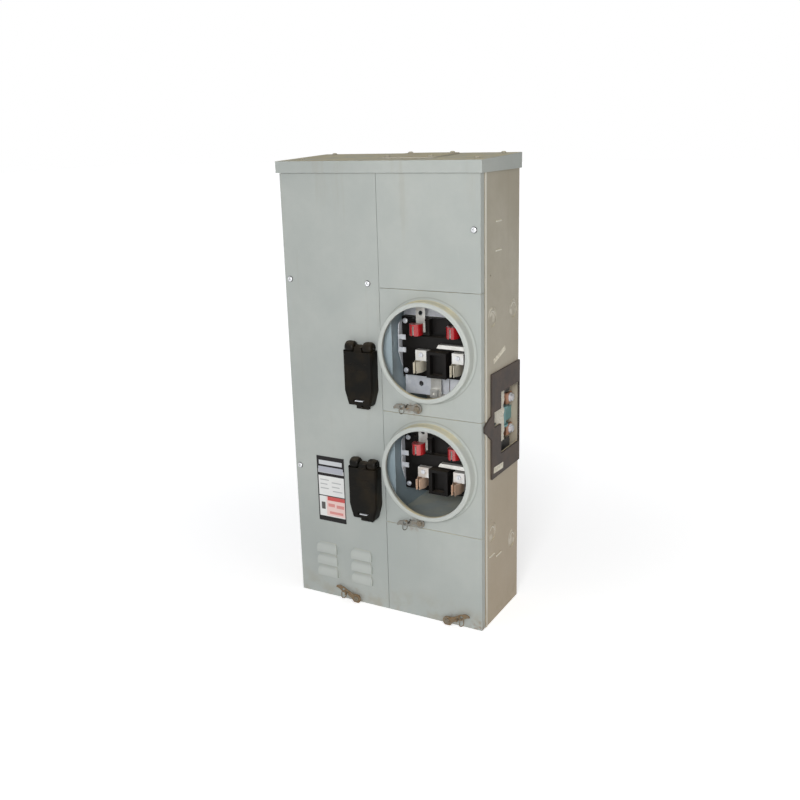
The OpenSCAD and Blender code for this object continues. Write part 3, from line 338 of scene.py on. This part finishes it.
def rustySteel(name):
    s, f = rustySettings, Finish(name)
    patch = f.noise(s["patch"], 5, 0.65, seed=60)
    grit = f.noise(s["grit"], 4, 0.7, seed=61)
    worse = 1 - f.z.ramp(*s["worse"])
    rust = (patch + (grit - 0.5) * 0.5 + worse * s["worseBy"]).ramp(*s["rust"])
    red = f.mix(grit, s["dark"], s["pale"])
    red = f.mix(f.patches(s["crust"], 0.45, 0.65, 62), red, s["crustColor"])
    base = f.mix(rust, s["steel"], red)
    return f.finish(base, 0.42 + 0.4 * rust, 0.8 - 0.75 * rust, grit * rust + patch, s["bump"], 0.8)


gasketSettings = {"haze": 0.03, "pore": 0.0016, "rub": 0.006, "bump": 0.0002, "dark": srgb(52, 44, 40),
                  "pale": srgb(74, 62, 54), "rubbed": srgb(112, 98, 84)}


def gasketRubber(name):
    s, f = gasketSettings, Finish(name)
    haze = f.noise(s["haze"], 5, 0.6, seed=70)
    pores = f.cells(s["pore"], 71)
    base = f.mix(haze.ramp(0.35, 0.7), s["dark"], s["pale"])
    base = f.mix(f.patches(s["rub"], 0.62, 0.74, 72, rough=0.65) * 0.4, base, s["rubbed"])
    return f.finish(base, 0.62 + 0.2 * haze, 0.0, pores * 0.5 + haze, s["bump"], 0.6)


fibreSettings = {
    "fibre": 0.0014, "mark": 0.006, "smudge": 0.011, "bump": 0.0003, "pale": srgb(230, 227, 216),
    "dull": srgb(212, 206, 190), "brown": srgb(176, 146, 116), "grey": srgb(178, 180, 182),
}


def insulatingSheet(name):
    s, f = fibreSettings, Finish(name)
    fibres = f.noise(s["fibre"], 4, 0.65, at=f.stretch(1, 0.3, 1), seed=80)
    marks = f.noise(s["mark"], 4, 0.6, seed=81)
    base = f.mix(fibres.ramp(0.35, 0.65), s["pale"], s["dull"])
    base = f.mix(marks.ramp(0.6, 0.72) * 0.6, base, s["brown"])
    base = f.mix(f.patches(s["smudge"], 0.62, 0.7, 82, 3) * 0.45, base, s["grey"])
    return f.finish(base, 0.6 + 0.2 * fibres, 0.0, fibres + marks, s["bump"], 0.6)


filmSettings = {"haze": 0.02, "worn": 0.006, "ripple": 0.01, "bump": 0.0001, "sheen": 0.2,
                "hazeColor": srgb(206, 204, 196), "wornColor": srgb(176, 174, 164)}


def printedFilm(name, node, blocks, ground):   # a blank label: plain coloured blocks
    s, f = filmSettings, Finish(name)
    (x0, _, z0), (x1, _, z1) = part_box(node)
    u, v = (f.x - x0) / (x1 - x0), (f.z - z0) / (z1 - z0)
    base = f.mix(f.noise(s["haze"], 4, 0.5, seed=90) * 0.2, ground, s["hazeColor"])
    for u0, u1, v0, v1, color in blocks:
        mask = f.band(u, u0, u1, 0.004) * f.band(v, v0, v1, 0.002)
        base = f.mix(mask, base, color)
    worn = f.patches(s["worn"], 0.64, 0.74, 91, rough=0.65)
    base = f.mix(worn * 0.5, base, s["wornColor"])
    return f.finish(base, 0.36 + 0.3 * worn, 0.0, f.noise(s["ripple"], 3, 0.5, seed=92), s["bump"], 0.4,
                    Specular_IOR_Level=s["sheen"])


paperSettings = {"worn": 0.004, "block": 0.005, "bump": 0.0001, "paper": srgb(228, 222, 204),
                 "wornColor": srgb(196, 186, 160), "grey": srgb(150, 142, 122)}


def paperStrip(name):   # a blank sticker with small grey blocks
    s, f = paperSettings, Finish(name)
    worn = f.patches(s["worn"], 0.5, 0.66, 95, rough=0.65)
    grey = f.node("SeparateColor", {}, {0: f.cells(s["block"], 96, "Color")}).ramp(0.55, 0.6)
    base = f.mix(worn * 0.5, s["paper"], s["wornColor"])
    base = f.mix(grey * 0.3, base, s["grey"])
    return f.finish(base, 0.5 + 0.25 * worn, 0.0, worn, s["bump"], 0.5)


black, bar, rose = srgb(28, 26, 26), srgb(178, 178, 178), srgb(216, 146, 140)
labelBlocks = [   # left, right, low, high across and up the label, then the colour
    (0.0, 1.0, 0.80, 1.0, black), (0.0, 1.0, 0.0, 0.075, black), (0.0, 0.04, 0.0, 1.0, black),
    (0.97, 1.0, 0.0, 1.0, black), (0.08, 0.92, 0.87, 0.935, srgb(204, 206, 208)),
    (0.05, 0.95, 0.75, 0.84, srgb(176, 178, 186)), (0.0, 1.0, 0.70, 0.745, black),
    (0.10, 0.42, 0.630, 0.645, bar), (0.10, 0.36, 0.565, 0.580, bar), (0.10, 0.40, 0.500, 0.515, bar),
    (0.52, 0.86, 0.600, 0.615, bar), (0.52, 0.80, 0.535, 0.550, bar), (0.55, 0.90, 0.470, 0.485, bar),
    (0.0, 1.0, 0.385, 0.40, black), (0.30, 0.97, 0.09, 0.385, srgb(234, 204, 198)),
    (0.34, 0.97, 0.325, 0.385, srgb(204, 92, 88)), (0.36, 0.60, 0.23, 0.28, rose),
    (0.66, 0.94, 0.22, 0.27, rose), (0.40, 0.90, 0.12, 0.16, rose),
    (0.11, 0.25, 0.18, 0.29, srgb(92, 90, 88)),
]

look = {
    "steel_green": enamel("greenEnamel", "green"),
    "steel_beige": enamel("beigeEnamel", "beige"),
    "inside": enamel("insideEnamel", "inside", dusty=0.35),
    "plated": plating("zincPlate", srgb(232, 233, 236), srgb(186, 190, 200), 0.24, metal=0.4),
    "plated_alu": plating("tinPlate", srgb(230, 229, 224), srgb(184, 180, 170), 0.26, 26, 0.5),
    "galvanised": galvanised("galvanised"),
    "screws": screwSteel("screwSteel"),
    "upperJaws": plating("upperJaws", srgb(232, 232, 230), srgb(200, 194, 180), 0.3, 36, 0.35,
                         leaves="upper_load_jaws", leafColor=srgb(230, 222, 202)),
    "lowerJaws": plating("lowerJaws", srgb(232, 232, 230), srgb(190, 170, 150), 0.3, 37, 0.35,
                         leaves="lower_load_jaws", leafColor=srgb(228, 192, 164)),
    "copper": plating("copper", srgb(196, 148, 120), srgb(140, 98, 76), 0.28, 32, 0.8),
    "black_moulded": moulding("blackMoulding", srgb(20, 18, 17), srgb(32, 29, 27), 0.34, sheen=0.16),
    "brown_moulded": moulding("brownMoulding", srgb(8, 7, 4), srgb(46, 37, 22), 0.34, 44, sheen=0.12),
    "red_moulded": moulding("redMoulding", srgb(172, 22, 30), srgb(206, 60, 58), 0.12, 48, 0.8, 0.15),
    "teal_moulded": moulding("tealMoulding", srgb(96, 142, 144), srgb(128, 168, 166), 0.3, 52),
    "fibre_sheet": insulatingSheet("fibreSheet"),
    "rusty_steel": rustySteel("rustySteel"),
    "gasket": gasketRubber("gasketRubber"),
    "strip": paperStrip("paperStrip"),
    "label": printedFilm("blankLabel", "rating_plate", labelBlocks, srgb(232, 232, 230)),
}
for slotName, material in look.items():
    print("finish", slotName, material.name)


# making pieces

def keep(obj):
    bpy.context.scene.collection.objects.link(obj)
    return obj


def fromBm(name, bm, smooth=35, recalc=True):
    if recalc:
        bmesh.ops.remove_doubles(bm, verts=bm.verts, dist=mergeGap)
        bmesh.ops.recalc_face_normals(bm, faces=bm.faces)
    mesh = bpy.data.meshes.new(name)
    bm.to_mesh(mesh)
    bm.free()
    mesh.shade_smooth()
    mesh.set_sharp_from_angle(angle=math.radians(smooth))
    return keep(bpy.data.objects.new(name, mesh))


def baked(obj):   # modifiers applied, the plain mesh kept
    obj.hide_set(False)
    bpy.context.view_layer.update()
    mesh = bpy.data.meshes.new_from_object(obj.evaluated_get(bpy.context.evaluated_depsgraph_get()))
    obj.modifiers.clear()
    obj.data = mesh
    return obj


edgeSettings = {"segments": 2, "roundFrom": 32, "sharpFrom": 35, "flat": 0.4}   # angles in degrees


def bevel(obj, width, s=edgeSettings):
    b = obj.modifiers.new("bevel", "BEVEL")
    b.width, b.segments, b.limit_method = width, s["segments"], "ANGLE"
    b.angle_limit = math.radians(s["roundFrom"])
    baked(obj)
    obj.data.shade_smooth()
    obj.data.set_sharp_from_angle(angle=math.radians(s["sharpFrom"]))
    w = obj.modifiers.new("normals", "WEIGHTED_NORMAL")
    w.keep_sharp, w.weight, w.mode = True, 100, "FACE_AREA"
    return baked(obj)


def dress(obj, body, slotName, finishName=None, stands=()):
    obj.data.materials.clear()
    obj.data.materials.append(look[finishName or slotName])
    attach(obj, body)
    if stands:
        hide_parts(*stands)
    return obj


def cadCopy(node):   # a merged copy of a CAD node, with its flat faces whole again
    bm = bmesh.new()
    bm.from_mesh(frame["nodes"][node].data)
    bmesh.ops.remove_doubles(bm, verts=bm.verts, dist=mergeGap)
    bmesh.ops.dissolve_limit(bm, angle_limit=math.radians(edgeSettings["flat"]), verts=bm.verts,
                             edges=bm.edges, use_dissolve_boundaries=False)
    return bm


def softEdged(node, width, finishName=None):
    obj = fromBm(camel(node), cadCopy(node), recalc=False)
    bevel(obj, width * mm)
    return dress(obj, bodyOf[node], slotOf[node], finishName, [node])


def camel(node):
    head, *rest = node.split("_")
    return head + "".join(w.title() for w in rest) + "Piece"


edgeWidths = {   # how wide each node's edges are rounded, in mm
    "case_wrap": 0.5, "top_wall": 0.4, "bottom_wall": 0.4, "rain_cap": 0.6, "hub_plate": 0.5,
    "side_closing_plate": 0.4, "partition_wall": 0.3, "centre_rail": 0.3,
    "cross_rails": 0.3, "lower_shelf": 0.4, "breaker_cover": 0.5, "top_blank_cover": 0.5,
    "upper_meter_cover": 0.5, "lower_meter_cover": 0.5, "bottom_blank_cover": 0.5,
    "bus_window_frame": 0.6, "cover_staples": 0.3, "upper_support_tray": 0.3,
    "lower_support_tray": 0.3, "upper_socket_block": 0.8, "lower_socket_block": 0.8,
    "upper_line_jaws": 0.25, "lower_line_jaws": 0.25, "upper_load_jaws": 0.3,
    "lower_load_jaws": 0.3, "upper_jaw_caps": 0.5, "lower_jaw_caps": 0.5, "cross_straps": 0.3,
    "load_straps": 0.3, "bus_bars": 0.6, "neutral_bar": 0.5, "bus_barrier": 0.8,
    "line_risers": 0.3, "breaker_brackets": 0.3, "upper_breaker": 0.8, "lower_breaker": 0.8,
    "upper_breaker_handle": 0.7, "lower_breaker_handle": 0.7, "upper_flap_bezel": 0.5,
    "lower_flap_bezel": 0.5, "upper_flap": 0.7, "lower_flap": 0.7, "upper_latch": 0.35,
    "lower_latch": 0.35, "left_latch": 0.35, "bottom_latch": 0.35, "bus_bolts": 0.4,
    "flap_hasps": 0.25,
}
# nodes that look different from the rest of their slot
otherFinish = {"partition_wall": "inside", "centre_rail": "inside", "cross_rails": "inside",
               "lower_shelf": "inside", "upper_support_tray": "galvanised",
               "lower_support_tray": "galvanised",
               "upper_load_jaws": "upperJaws", "lower_load_jaws": "lowerJaws",
               "cover_staples": "rusty_steel"}
for node, width in edgeWidths.items():
    softEdged(node, width, finishName=otherFinish.get(node))
print("edges softened on", len(edgeWidths), "nodes")

for node, obj in frame["nodes"].items():
    if node not in edgeWidths:
        obj.data.materials.clear()
        obj.data.materials.append(look[slotOf[node]])


# repeated pieces, set out with geometry nodes

def looseBoxes(node):   # low and high corners of each separate solid in a CAD node, sorted
    bm = bmesh.new()
    bm.from_mesh(frame["nodes"][node].data)
    bmesh.ops.remove_doubles(bm, verts=bm.verts, dist=mergeGap)
    boxes, seen = [], set()
    for start in bm.verts:
        if start in seen:
            continue
        seen.add(start)
        part, todo = [], [start]
        while todo:
            v = todo.pop()
            part.append(v.co)
            for e in v.link_edges:
                w = e.other_vert(v)
                if w not in seen:
                    seen.add(w)
                    todo.append(w)
        boxes.append(tuple(Vector([pick(c[i] for c in part) for i in range(3)]) for pick in (min, max)))
    bm.free()
    return sorted(boxes, key=lambda b: tuple(b[0]))


def copyGroup(name):   # copies a piece to every point, each turned a little about its own axis
    group = bpy.data.node_groups.new(name, "GeometryNodeTree")
    made = {}
    for label, kind in (("Points", "NodeSocketGeometry"), ("Piece", "NodeSocketObject"),
                        ("Finish", "NodeSocketMaterial"), ("Most turn", "NodeSocketFloat"),
                        ("Seed", "NodeSocketInt")):
        made[label] = group.interface.new_socket(name=label, in_out="INPUT", socket_type=kind)
    group.interface.new_socket(name="Copies", in_out="OUTPUT", socket_type="NodeSocketGeometry")

    def add(kind, settings=None, **inputs):
        n = group.nodes.new(kind)
        for key, value in (settings or {}).items():
            setattr(n, key, value)
        for key, value in inputs.items():
            s = n.inputs[key.replace("_", " ")]
            if isinstance(value, bpy.types.NodeSocket):
                group.links.new(value, s)
            else:
                s.default_value = value
        return n

    given = group.nodes.new("NodeGroupInput").outputs
    points = add("GeometryNodeMeshToPoints", Mesh=given["Points"]).outputs[0]
    piece = add("GeometryNodeObjectInfo", Object=given["Piece"]).outputs["Geometry"]
    lean = add("GeometryNodeInputNamedAttribute", {"data_type": "FLOAT_VECTOR"}, Name="lean")
    turn = group.nodes.new("FunctionNodeRandomValue")
    turn.data_type = "FLOAT"
    less = add("ShaderNodeMath", {"operation": "MULTIPLY"})
    group.links.new(given["Most turn"], less.inputs[0])
    less.inputs[1].default_value = -1
    floats = [i for i in turn.inputs if i.type == "VALUE"]
    group.links.new(less.outputs[0], floats[0])
    group.links.new(given["Most turn"], floats[1])
    group.links.new(given["Seed"], turn.inputs["Seed"])
    spin = group.nodes.new("ShaderNodeCombineXYZ")
    group.links.new([o for o in turn.outputs if o.type == "VALUE"][0], spin.inputs[2])
    whole = group.nodes.new("FunctionNodeRotateRotation")
    whole.rotation_space = "LOCAL"
    for source, at in ((lean.outputs[0], 0), (spin.outputs[0], 1)):
        toTurn = group.nodes.new("FunctionNodeEulerToRotation")
        group.links.new(source, toTurn.inputs[0])
        group.links.new(toTurn.outputs[0], whole.inputs[at])
    placed = add("GeometryNodeInstanceOnPoints", Points=points, Instance=piece, Rotation=whole.outputs[0])
    real = add("GeometryNodeRealizeInstances", Geometry=placed.outputs[0])
    done = add("GeometryNodeSetMaterial", Geometry=real.outputs[0], Material=given["Finish"])
    group.links.new(done.outputs[0], group.nodes.new("NodeGroupOutput").inputs[0])
    return group, {label: socket.identifier for label, socket in made.items()}


copier, copierInputs = copyGroup("copiesOnPoints")


def copies(name, piece, places, body, slotName, stands=(), mostTurn=0.0, seed=3, finishName=None):
    mesh = bpy.data.meshes.new(name)   # places: (point, direction that the piece's +Z takes)
    mesh.from_pydata([p for p, _ in places], [], [])
    lean = mesh.attributes.new("lean", "FLOAT_VECTOR", "POINT")
    for i, (_, way) in enumerate(places):
        lean.data[i].vector = Vector(way).to_track_quat("Z", "Y").to_euler()
    obj = keep(bpy.data.objects.new(name, mesh))
    m = obj.modifiers.new("copies", "NODES")
    m.node_group = copier
    for label, value in (("Piece", piece), ("Finish", look[finishName or slotName]),
                         ("Most turn", mostTurn), ("Seed", seed)):
        m[copierInputs[label]] = value
    baked(obj)
    return dress(obj, body, slotName, finishName, stands)


def lathe(name, outline, steps=48, smooth=35):   # outline: (radius, height) from the axis to the axis
    bm = bmesh.new()
    rings = []
    for r, h in outline:
        if r == 0:
            rings.append([bm.verts.new((0, 0, h))])
        else:
            rings.append([bm.verts.new((r * math.cos(a), r * math.sin(a), h))
                          for a in (2 * math.pi * i / steps for i in range(steps))])
    for low, high in zip(rings, rings[1:]):
        for i in range(steps):
            j = (i + 1) % steps
            corners = [low[0], high[j], high[i]] if len(low) == 1 else (
                [low[i], low[j], high[0]] if len(high) == 1 else [low[i], low[j], high[j], high[i]])
            bm.faces.new(corners)
    return fromBm(name, bm, smooth)


def pressed(obj, heightAt):   # moves the faces that look up to the height given at each x, y
    for v in obj.data.vertices:
        v.co.z = heightAt(v.co.x, v.co.y, v.co.z)
    return obj


screwSettings = {"head": 4.8, "rise": 3.0, "round": 2.6, "flatten": 0.96, "rim": 0.3, "slot": 0.62,
                 "arm": 3.1, "depth": 1.25, "wall": 0.2, "shank": 2.35, "point": 0.6, "rings": 22,
                 "steps": 64}
coverScrewSettings = dict(screwSettings, head=5.5, arm=3.5, slot=0.75)
screwLengths = {"cover": 12, "cap": 9, "above": 3}   # above: the head's height above its seat


def crossScrew(name, length, s=screwSettings):   # a domed head with a cross recess, seat at 0
    head, shank, rim = s["head"] * mm, s["shank"] * mm, s["rim"] * mm

    def domeAt(r):
        return s["rise"] * mm * (1 - (r / head) ** s["round"]) ** 0.5 * s["flatten"] if r < head else 0.0
    outline = [(0, -length), (shank * 0.8, -length), (shank, -length + s["point"] * mm), (shank, 0),
               (head * 0.99, 0), (head, 0.25 * mm)]
    radii = [head * (1 - i / s["rings"]) for i in range(1, s["rings"])]
    outline += [(r, max(domeAt(r), rim)) for r in radii] + [(0, domeAt(0))]

    def recess(x, y, z):
        if z < rim + 0.1 * mm:
            return z
        reach, off = max(abs(x), abs(y)) / (s["arm"] * mm), min(abs(x), abs(y))
        deep = s["depth"] * mm * max(0.0, 1 - reach ** 3)
        edge = min(1.0, max(0.0, (s["slot"] * mm * (1.5 - reach) - off) / (s["wall"] * mm)))
        return z - deep * edge
    obj = pressed(lathe(name, outline, s["steps"]), recess)
    bpy.context.scene.collection.objects.unlink(obj)
    return obj


def screwPlaces(node, inset):   # where the heads sit: on the outer end of each screw's long side
    found = []
    for low, high in looseBoxes(node):
        size, middle = high - low, (low + high) / 2
        axis = max(range(3), key=lambda i: size[i])
        way = Vector((0, 0, 0))
        way[axis] = 1 if axis == 2 else -1
        end = middle.copy()
        end[axis] = (high if axis == 2 else low)[axis] - way[axis] * inset
        found.append((end, way))
    return found


coverScrew = crossScrew("coverScrewPiece", screwLengths["cover"] * mm, coverScrewSettings)
capScrew = crossScrew("capScrewPiece", screwLengths["cap"] * mm)
for node, piece, mostTurn, finishName in (
        ("breaker_cover_screws", coverScrew, 0.9, "screws"), ("top_cover_screw", coverScrew, 0.5, "screws"),
        ("case_screws", capScrew, 1.2, "steel_beige")):
    copies(camel(node), piece, screwPlaces(node, screwLengths["above"] * mm), bodyOf[node], slotOf[node],
           [node], mostTurn, len(node), finishName)
print("screws set out")


# knockouts with a raised crescent on each

knockoutSettings = {   # mm in from the rim: the rounded edge and the groove
    "edge": 0.3, "edgeDrop": 0.25, "groove": (1.6, 1.9, 2.6, 2.9), "grooveDeep": 0.4,
    "crescent": 9.5, "wide": 2.3, "rise": 1.0, "turn": 75, "rings": 26, "steps": 72,
    "mostTurn": 0.35, "seed": 5,
}


def knockoutPiece(low, high, s=knockoutSettings):
    r, t = (high.y - low.y) / 2, high.x - low.x
    starts, downs, ups, ends = (r - g * mm for g in s["groove"])
    floor = t - s["grooveDeep"] * mm
    outline = [(0, 0), (r, 0), (r, t - s["edgeDrop"] * mm), (r - s["edge"] * mm, t),
               (starts, t), (downs, floor), (ups, floor), (ends, t)]
    outline += [(ends * (1 - i / s["rings"]), t) for i in range(1, s["rings"])] + [(0, t)]

    def crescent(x, y, z):
        if z < t * 0.9:
            return z
        off = (math.hypot(x, y) - s["crescent"] * mm) / (s["wide"] * mm)
        along = math.cos(math.atan2(y, x) - math.radians(s["turn"]))
        return z + s["rise"] * mm * math.exp(-off * off * 2) * max(0.0, min(1.0, (along + 0.25) * 1.6))
    obj = pressed(lathe("knockoutMaster", outline, s["steps"]), crescent)
    bpy.context.scene.collection.objects.unlink(obj)
    return obj


knocked = looseBoxes("side_knockouts")
copies("sideKnockoutsPiece", knockoutPiece(*knocked[0]),
       [(Vector((low.x, (low.y + high.y) / 2, (low.z + high.z) / 2)), (1, 0, 0)) for low, high in knocked],
       bodyOf["side_knockouts"], slotOf["side_knockouts"], ["side_knockouts"],
       knockoutSettings["mostTurn"], knockoutSettings["seed"])
print("knockouts pressed")


# the creased sheet beside the bus

sheetSettings = {"thick": 1.1, "step": 1.5, "noseTop": 0.72, "noseLow": 0.49, "edge": 0.42, "foot": 0.1,
                 "fold": 0.011, "seed": 11, "lift": 0.9, "foldLift": 0.6, "creaseDrop": 0.45}


def creasedSheet(node, s=sheetSettings):
    low, high = (Vector(v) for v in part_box(node))
    thick, room = s["thick"] * mm, (high.x - low.x) - s["thick"] * mm
    ny, nz = (max(2, round((high[i] - low[i]) / (s["step"] * mm))) for i in (1, 2))
    bm = bmesh.new()
    front, back = {}, {}

    def inside(i, j):
        u, v = (i + 0.5) / ny, (j + 0.5) / nz
        return (u > s["edge"] and v > s["foot"]) or s["noseLow"] < v < s["noseTop"]

    def corner(i, j):
        if (i, j) not in front:
            y, z = low.y + (high.y - low.y) * i / ny, low.z + (high.z - low.z) * j / nz
            p = Vector((0, y, z)) / s["fold"]
            fold = noise.noise(p + Vector((s["seed"], 0, 0))) + 0.5 * noise.noise(p * 2.7)
            crease = abs(noise.noise(p * 0.8 + Vector((5, 5, 5)))) * 1.6
            lift = s["lift"] + s["foldLift"] * fold - s["creaseDrop"] * crease
            lift = min(1.0, max(0.0, lift))
            front[i, j] = bm.verts.new((low.x + thick + room * lift, y, z))
            back[i, j] = bm.verts.new((low.x + room * lift, y, z))
        return (i, j)
    cells = {(i, j) for i in range(ny) for j in range(nz) if inside(i, j)}
    for i, j in cells:
        ring = [corner(*c) for c in ((i, j), (i + 1, j), (i + 1, j + 1), (i, j + 1))]
        bm.faces.new([front[c] for c in ring])
        bm.faces.new([back[c] for c in reversed(ring)])
        for a, b, (di, dj) in ((0, 1, (0, -1)), (1, 2, (1, 0)), (2, 3, (0, 1)), (3, 0, (-1, 0))):
            if (i + di, j + dj) not in cells:
                bm.faces.new([back[ring[a]], back[ring[b]], front[ring[b]], front[ring[a]]])
    return dress(fromBm("creasedSheet", bm, 50), bodyOf[node], slotOf[node], None, [node])


creasedSheet("bus_insulator")
print("sheet creased")


# plain strips stuck on the side wall and on the window frame

stripShape = {"parts": 28, "thick": 0.00010, "curl": 0.00006, "curlSize": 1 / 120, "ragged": 0.0006,
              "raggedSize": 1 / 400}   # metres
stripSettings = [
    {"name": "sideStrip", "on": "case_wrap", "y": (-29.5, 20.5), "z": (485.0, 500.0), "wide": 8.5,
     "inset": -3.68},
    {"name": "frameStrip", "on": "bus_window_frame", "y": (-37, 4), "z": (292, 290), "wide": 11,
     "inset": 0.0},
]


def plainStrip(s):
    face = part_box("bus_window_frame")[1][0] + s["inset"] * mm
    start, end = (Vector((0, s["y"][i] * mm, s["z"][i] * mm)) for i in (0, 1))
    along = (end - start).normalized()
    across = Vector((0, -along.z, along.y)) * s["wide"] * mm / 2
    length, n = (end - start).length, stripShape["parts"]
    bm = bmesh.new()
    rows = []
    for k in range(n + 1):
        p = start + along * length * k / n
        ragged = [stripShape["ragged"] * noise.noise(p / stripShape["raggedSize"] + Vector((i, 0, 0)))
                  for i in (0, 7)]
        lift = stripShape["thick"] + stripShape["curl"] * noise.noise(p / stripShape["curlSize"])
        sides = {side: across * side * (1 + ragged[side > 0] * 90) for side in (-1, 1)}
        rows.append([bm.verts.new(Vector((face + dx, 0, 0)) + p + sides[side])
                     for side, dx in ((-1, 0), (1, 0), (1, lift), (-1, lift))])
    for a, b in zip(rows, rows[1:]):
        for k in range(4):
            bm.faces.new([a[k], a[(k + 1) % 4], b[(k + 1) % 4], b[k]])
    bm.faces.new(rows[0])
    bm.faces.new(rows[-1][::-1])
    return dress(fromBm(s["name"], bm, 30), bodyOf[s["on"]], "label", "strip")


for strip in stripSettings:
    plainStrip(strip)
print("strips stuck on")


# stage, camera and light

stageSettings = {
    "floor": 40.0, "white": (0.92, 0.92, 0.92), "dim": (0.9, 0.9, 0.89), "floorRough": 0.7,
    "glow": 0.80, "glowNear": 0.52, "nearEdge": (0.15, 1.6),
    "worldLight": (0.235, 0.24, 0.25),
    "camera": (0.8366, -1.4950, 0.8740), "turn": (1.29443, 0.02655, 0.50664), "lens": 43.41, "sensor": 36,
    "lights": {
        "key": {"at": (-1.7, -2.7, 1.8), "size": 2.2, "power": 10, "color": (1, 1, 1)},
        "front": {"at": (0.66, -1.68, 0.96), "size": 0.5, "power": 17.8, "color": (0.98, 0.99, 1)},
        "side": {"at": (2.4, -0.9, 0.9), "size": 1.4, "power": 10.3, "color": (1, 0.93, 0.80)},
    },
    "aim": (0.0, 0.0, 0.42),
}


def whenSeen(nodes, links):   # 1 for what the camera sees straight, in metal or through glass
    path = nodes.new("ShaderNodeLightPath")
    seen = path.outputs["Is Camera Ray"]
    for ray in ("Is Glossy Ray", "Is Transmission Ray"):
        most = nodes.new("ShaderNodeMath")
        most.operation = "MAXIMUM"
        links.new(seen, most.inputs[0])
        links.new(path.outputs[ray], most.inputs[1])
        seen = most.outputs[0]
    return seen


def blended(nodes, links, factor, plain, bright):
    blend = nodes.new("ShaderNodeMix")
    blend.data_type = "RGBA"
    links.new(factor, blend.inputs[0])
    blend.inputs[6].default_value = (*plain, 1)
    blend.inputs[7].default_value = (*bright, 1)
    return blend.outputs[2]


def buildStage(s):
    scene = bpy.context.scene
    scene.view_settings.view_transform = "Standard"
    world = bpy.data.worlds.new("studio")
    world.use_nodes = True
    nodes, links = world.node_tree.nodes, world.node_tree.links
    links.new(blended(nodes, links, whenSeen(nodes, links), s["worldLight"], (1, 1, 1)),
              nodes["Background"].inputs["Color"])
    scene.world = world
    bpy.ops.mesh.primitive_grid_add(x_subdivisions=8, y_subdivisions=8, size=s["floor"])
    floor = bpy.context.object
    floor.name = "studioFloor"
    f = Finish("studioFloor")
    pale = f.mix(f.noise(0.4, 3, 0.5, seed=99) * 0.04, s["white"], s["dim"])
    # it glows less close to the case, so that the case's shadow shows
    white = f.mix(f.near(0, 0, 0, *s["nearEdge"]), (s["glow"],) * 3, (s["glowNear"],) * 3)
    glow = f.mix(Sock(f, whenSeen(f.nodes, f.links)), (0, 0, 0), white)
    floor.data.materials.append(f.finish(pale, s["floorRough"], Emission_Color=glow,
                                          Emission_Strength=1.0))
    for name, light in s["lights"].items():
        lamp = bpy.data.lights.new(name, "AREA")
        lamp.size, lamp.energy, lamp.color = light["size"], light["power"], light["color"]
        obj = keep(bpy.data.objects.new(name, lamp))
        obj.location = light["at"]
        obj.rotation_euler = (Vector(s["aim"]) - obj.location).to_track_quat("-Z", "Y").to_euler()
    view = bpy.data.cameras.new("view")
    view.lens, view.sensor_width = s["lens"], s["sensor"]
    camera = keep(bpy.data.objects.new("view", view))
    camera.location, camera.rotation_euler = s["camera"], s["turn"]
    scene.camera = camera


buildStage(stageSettings)
print("stage built")
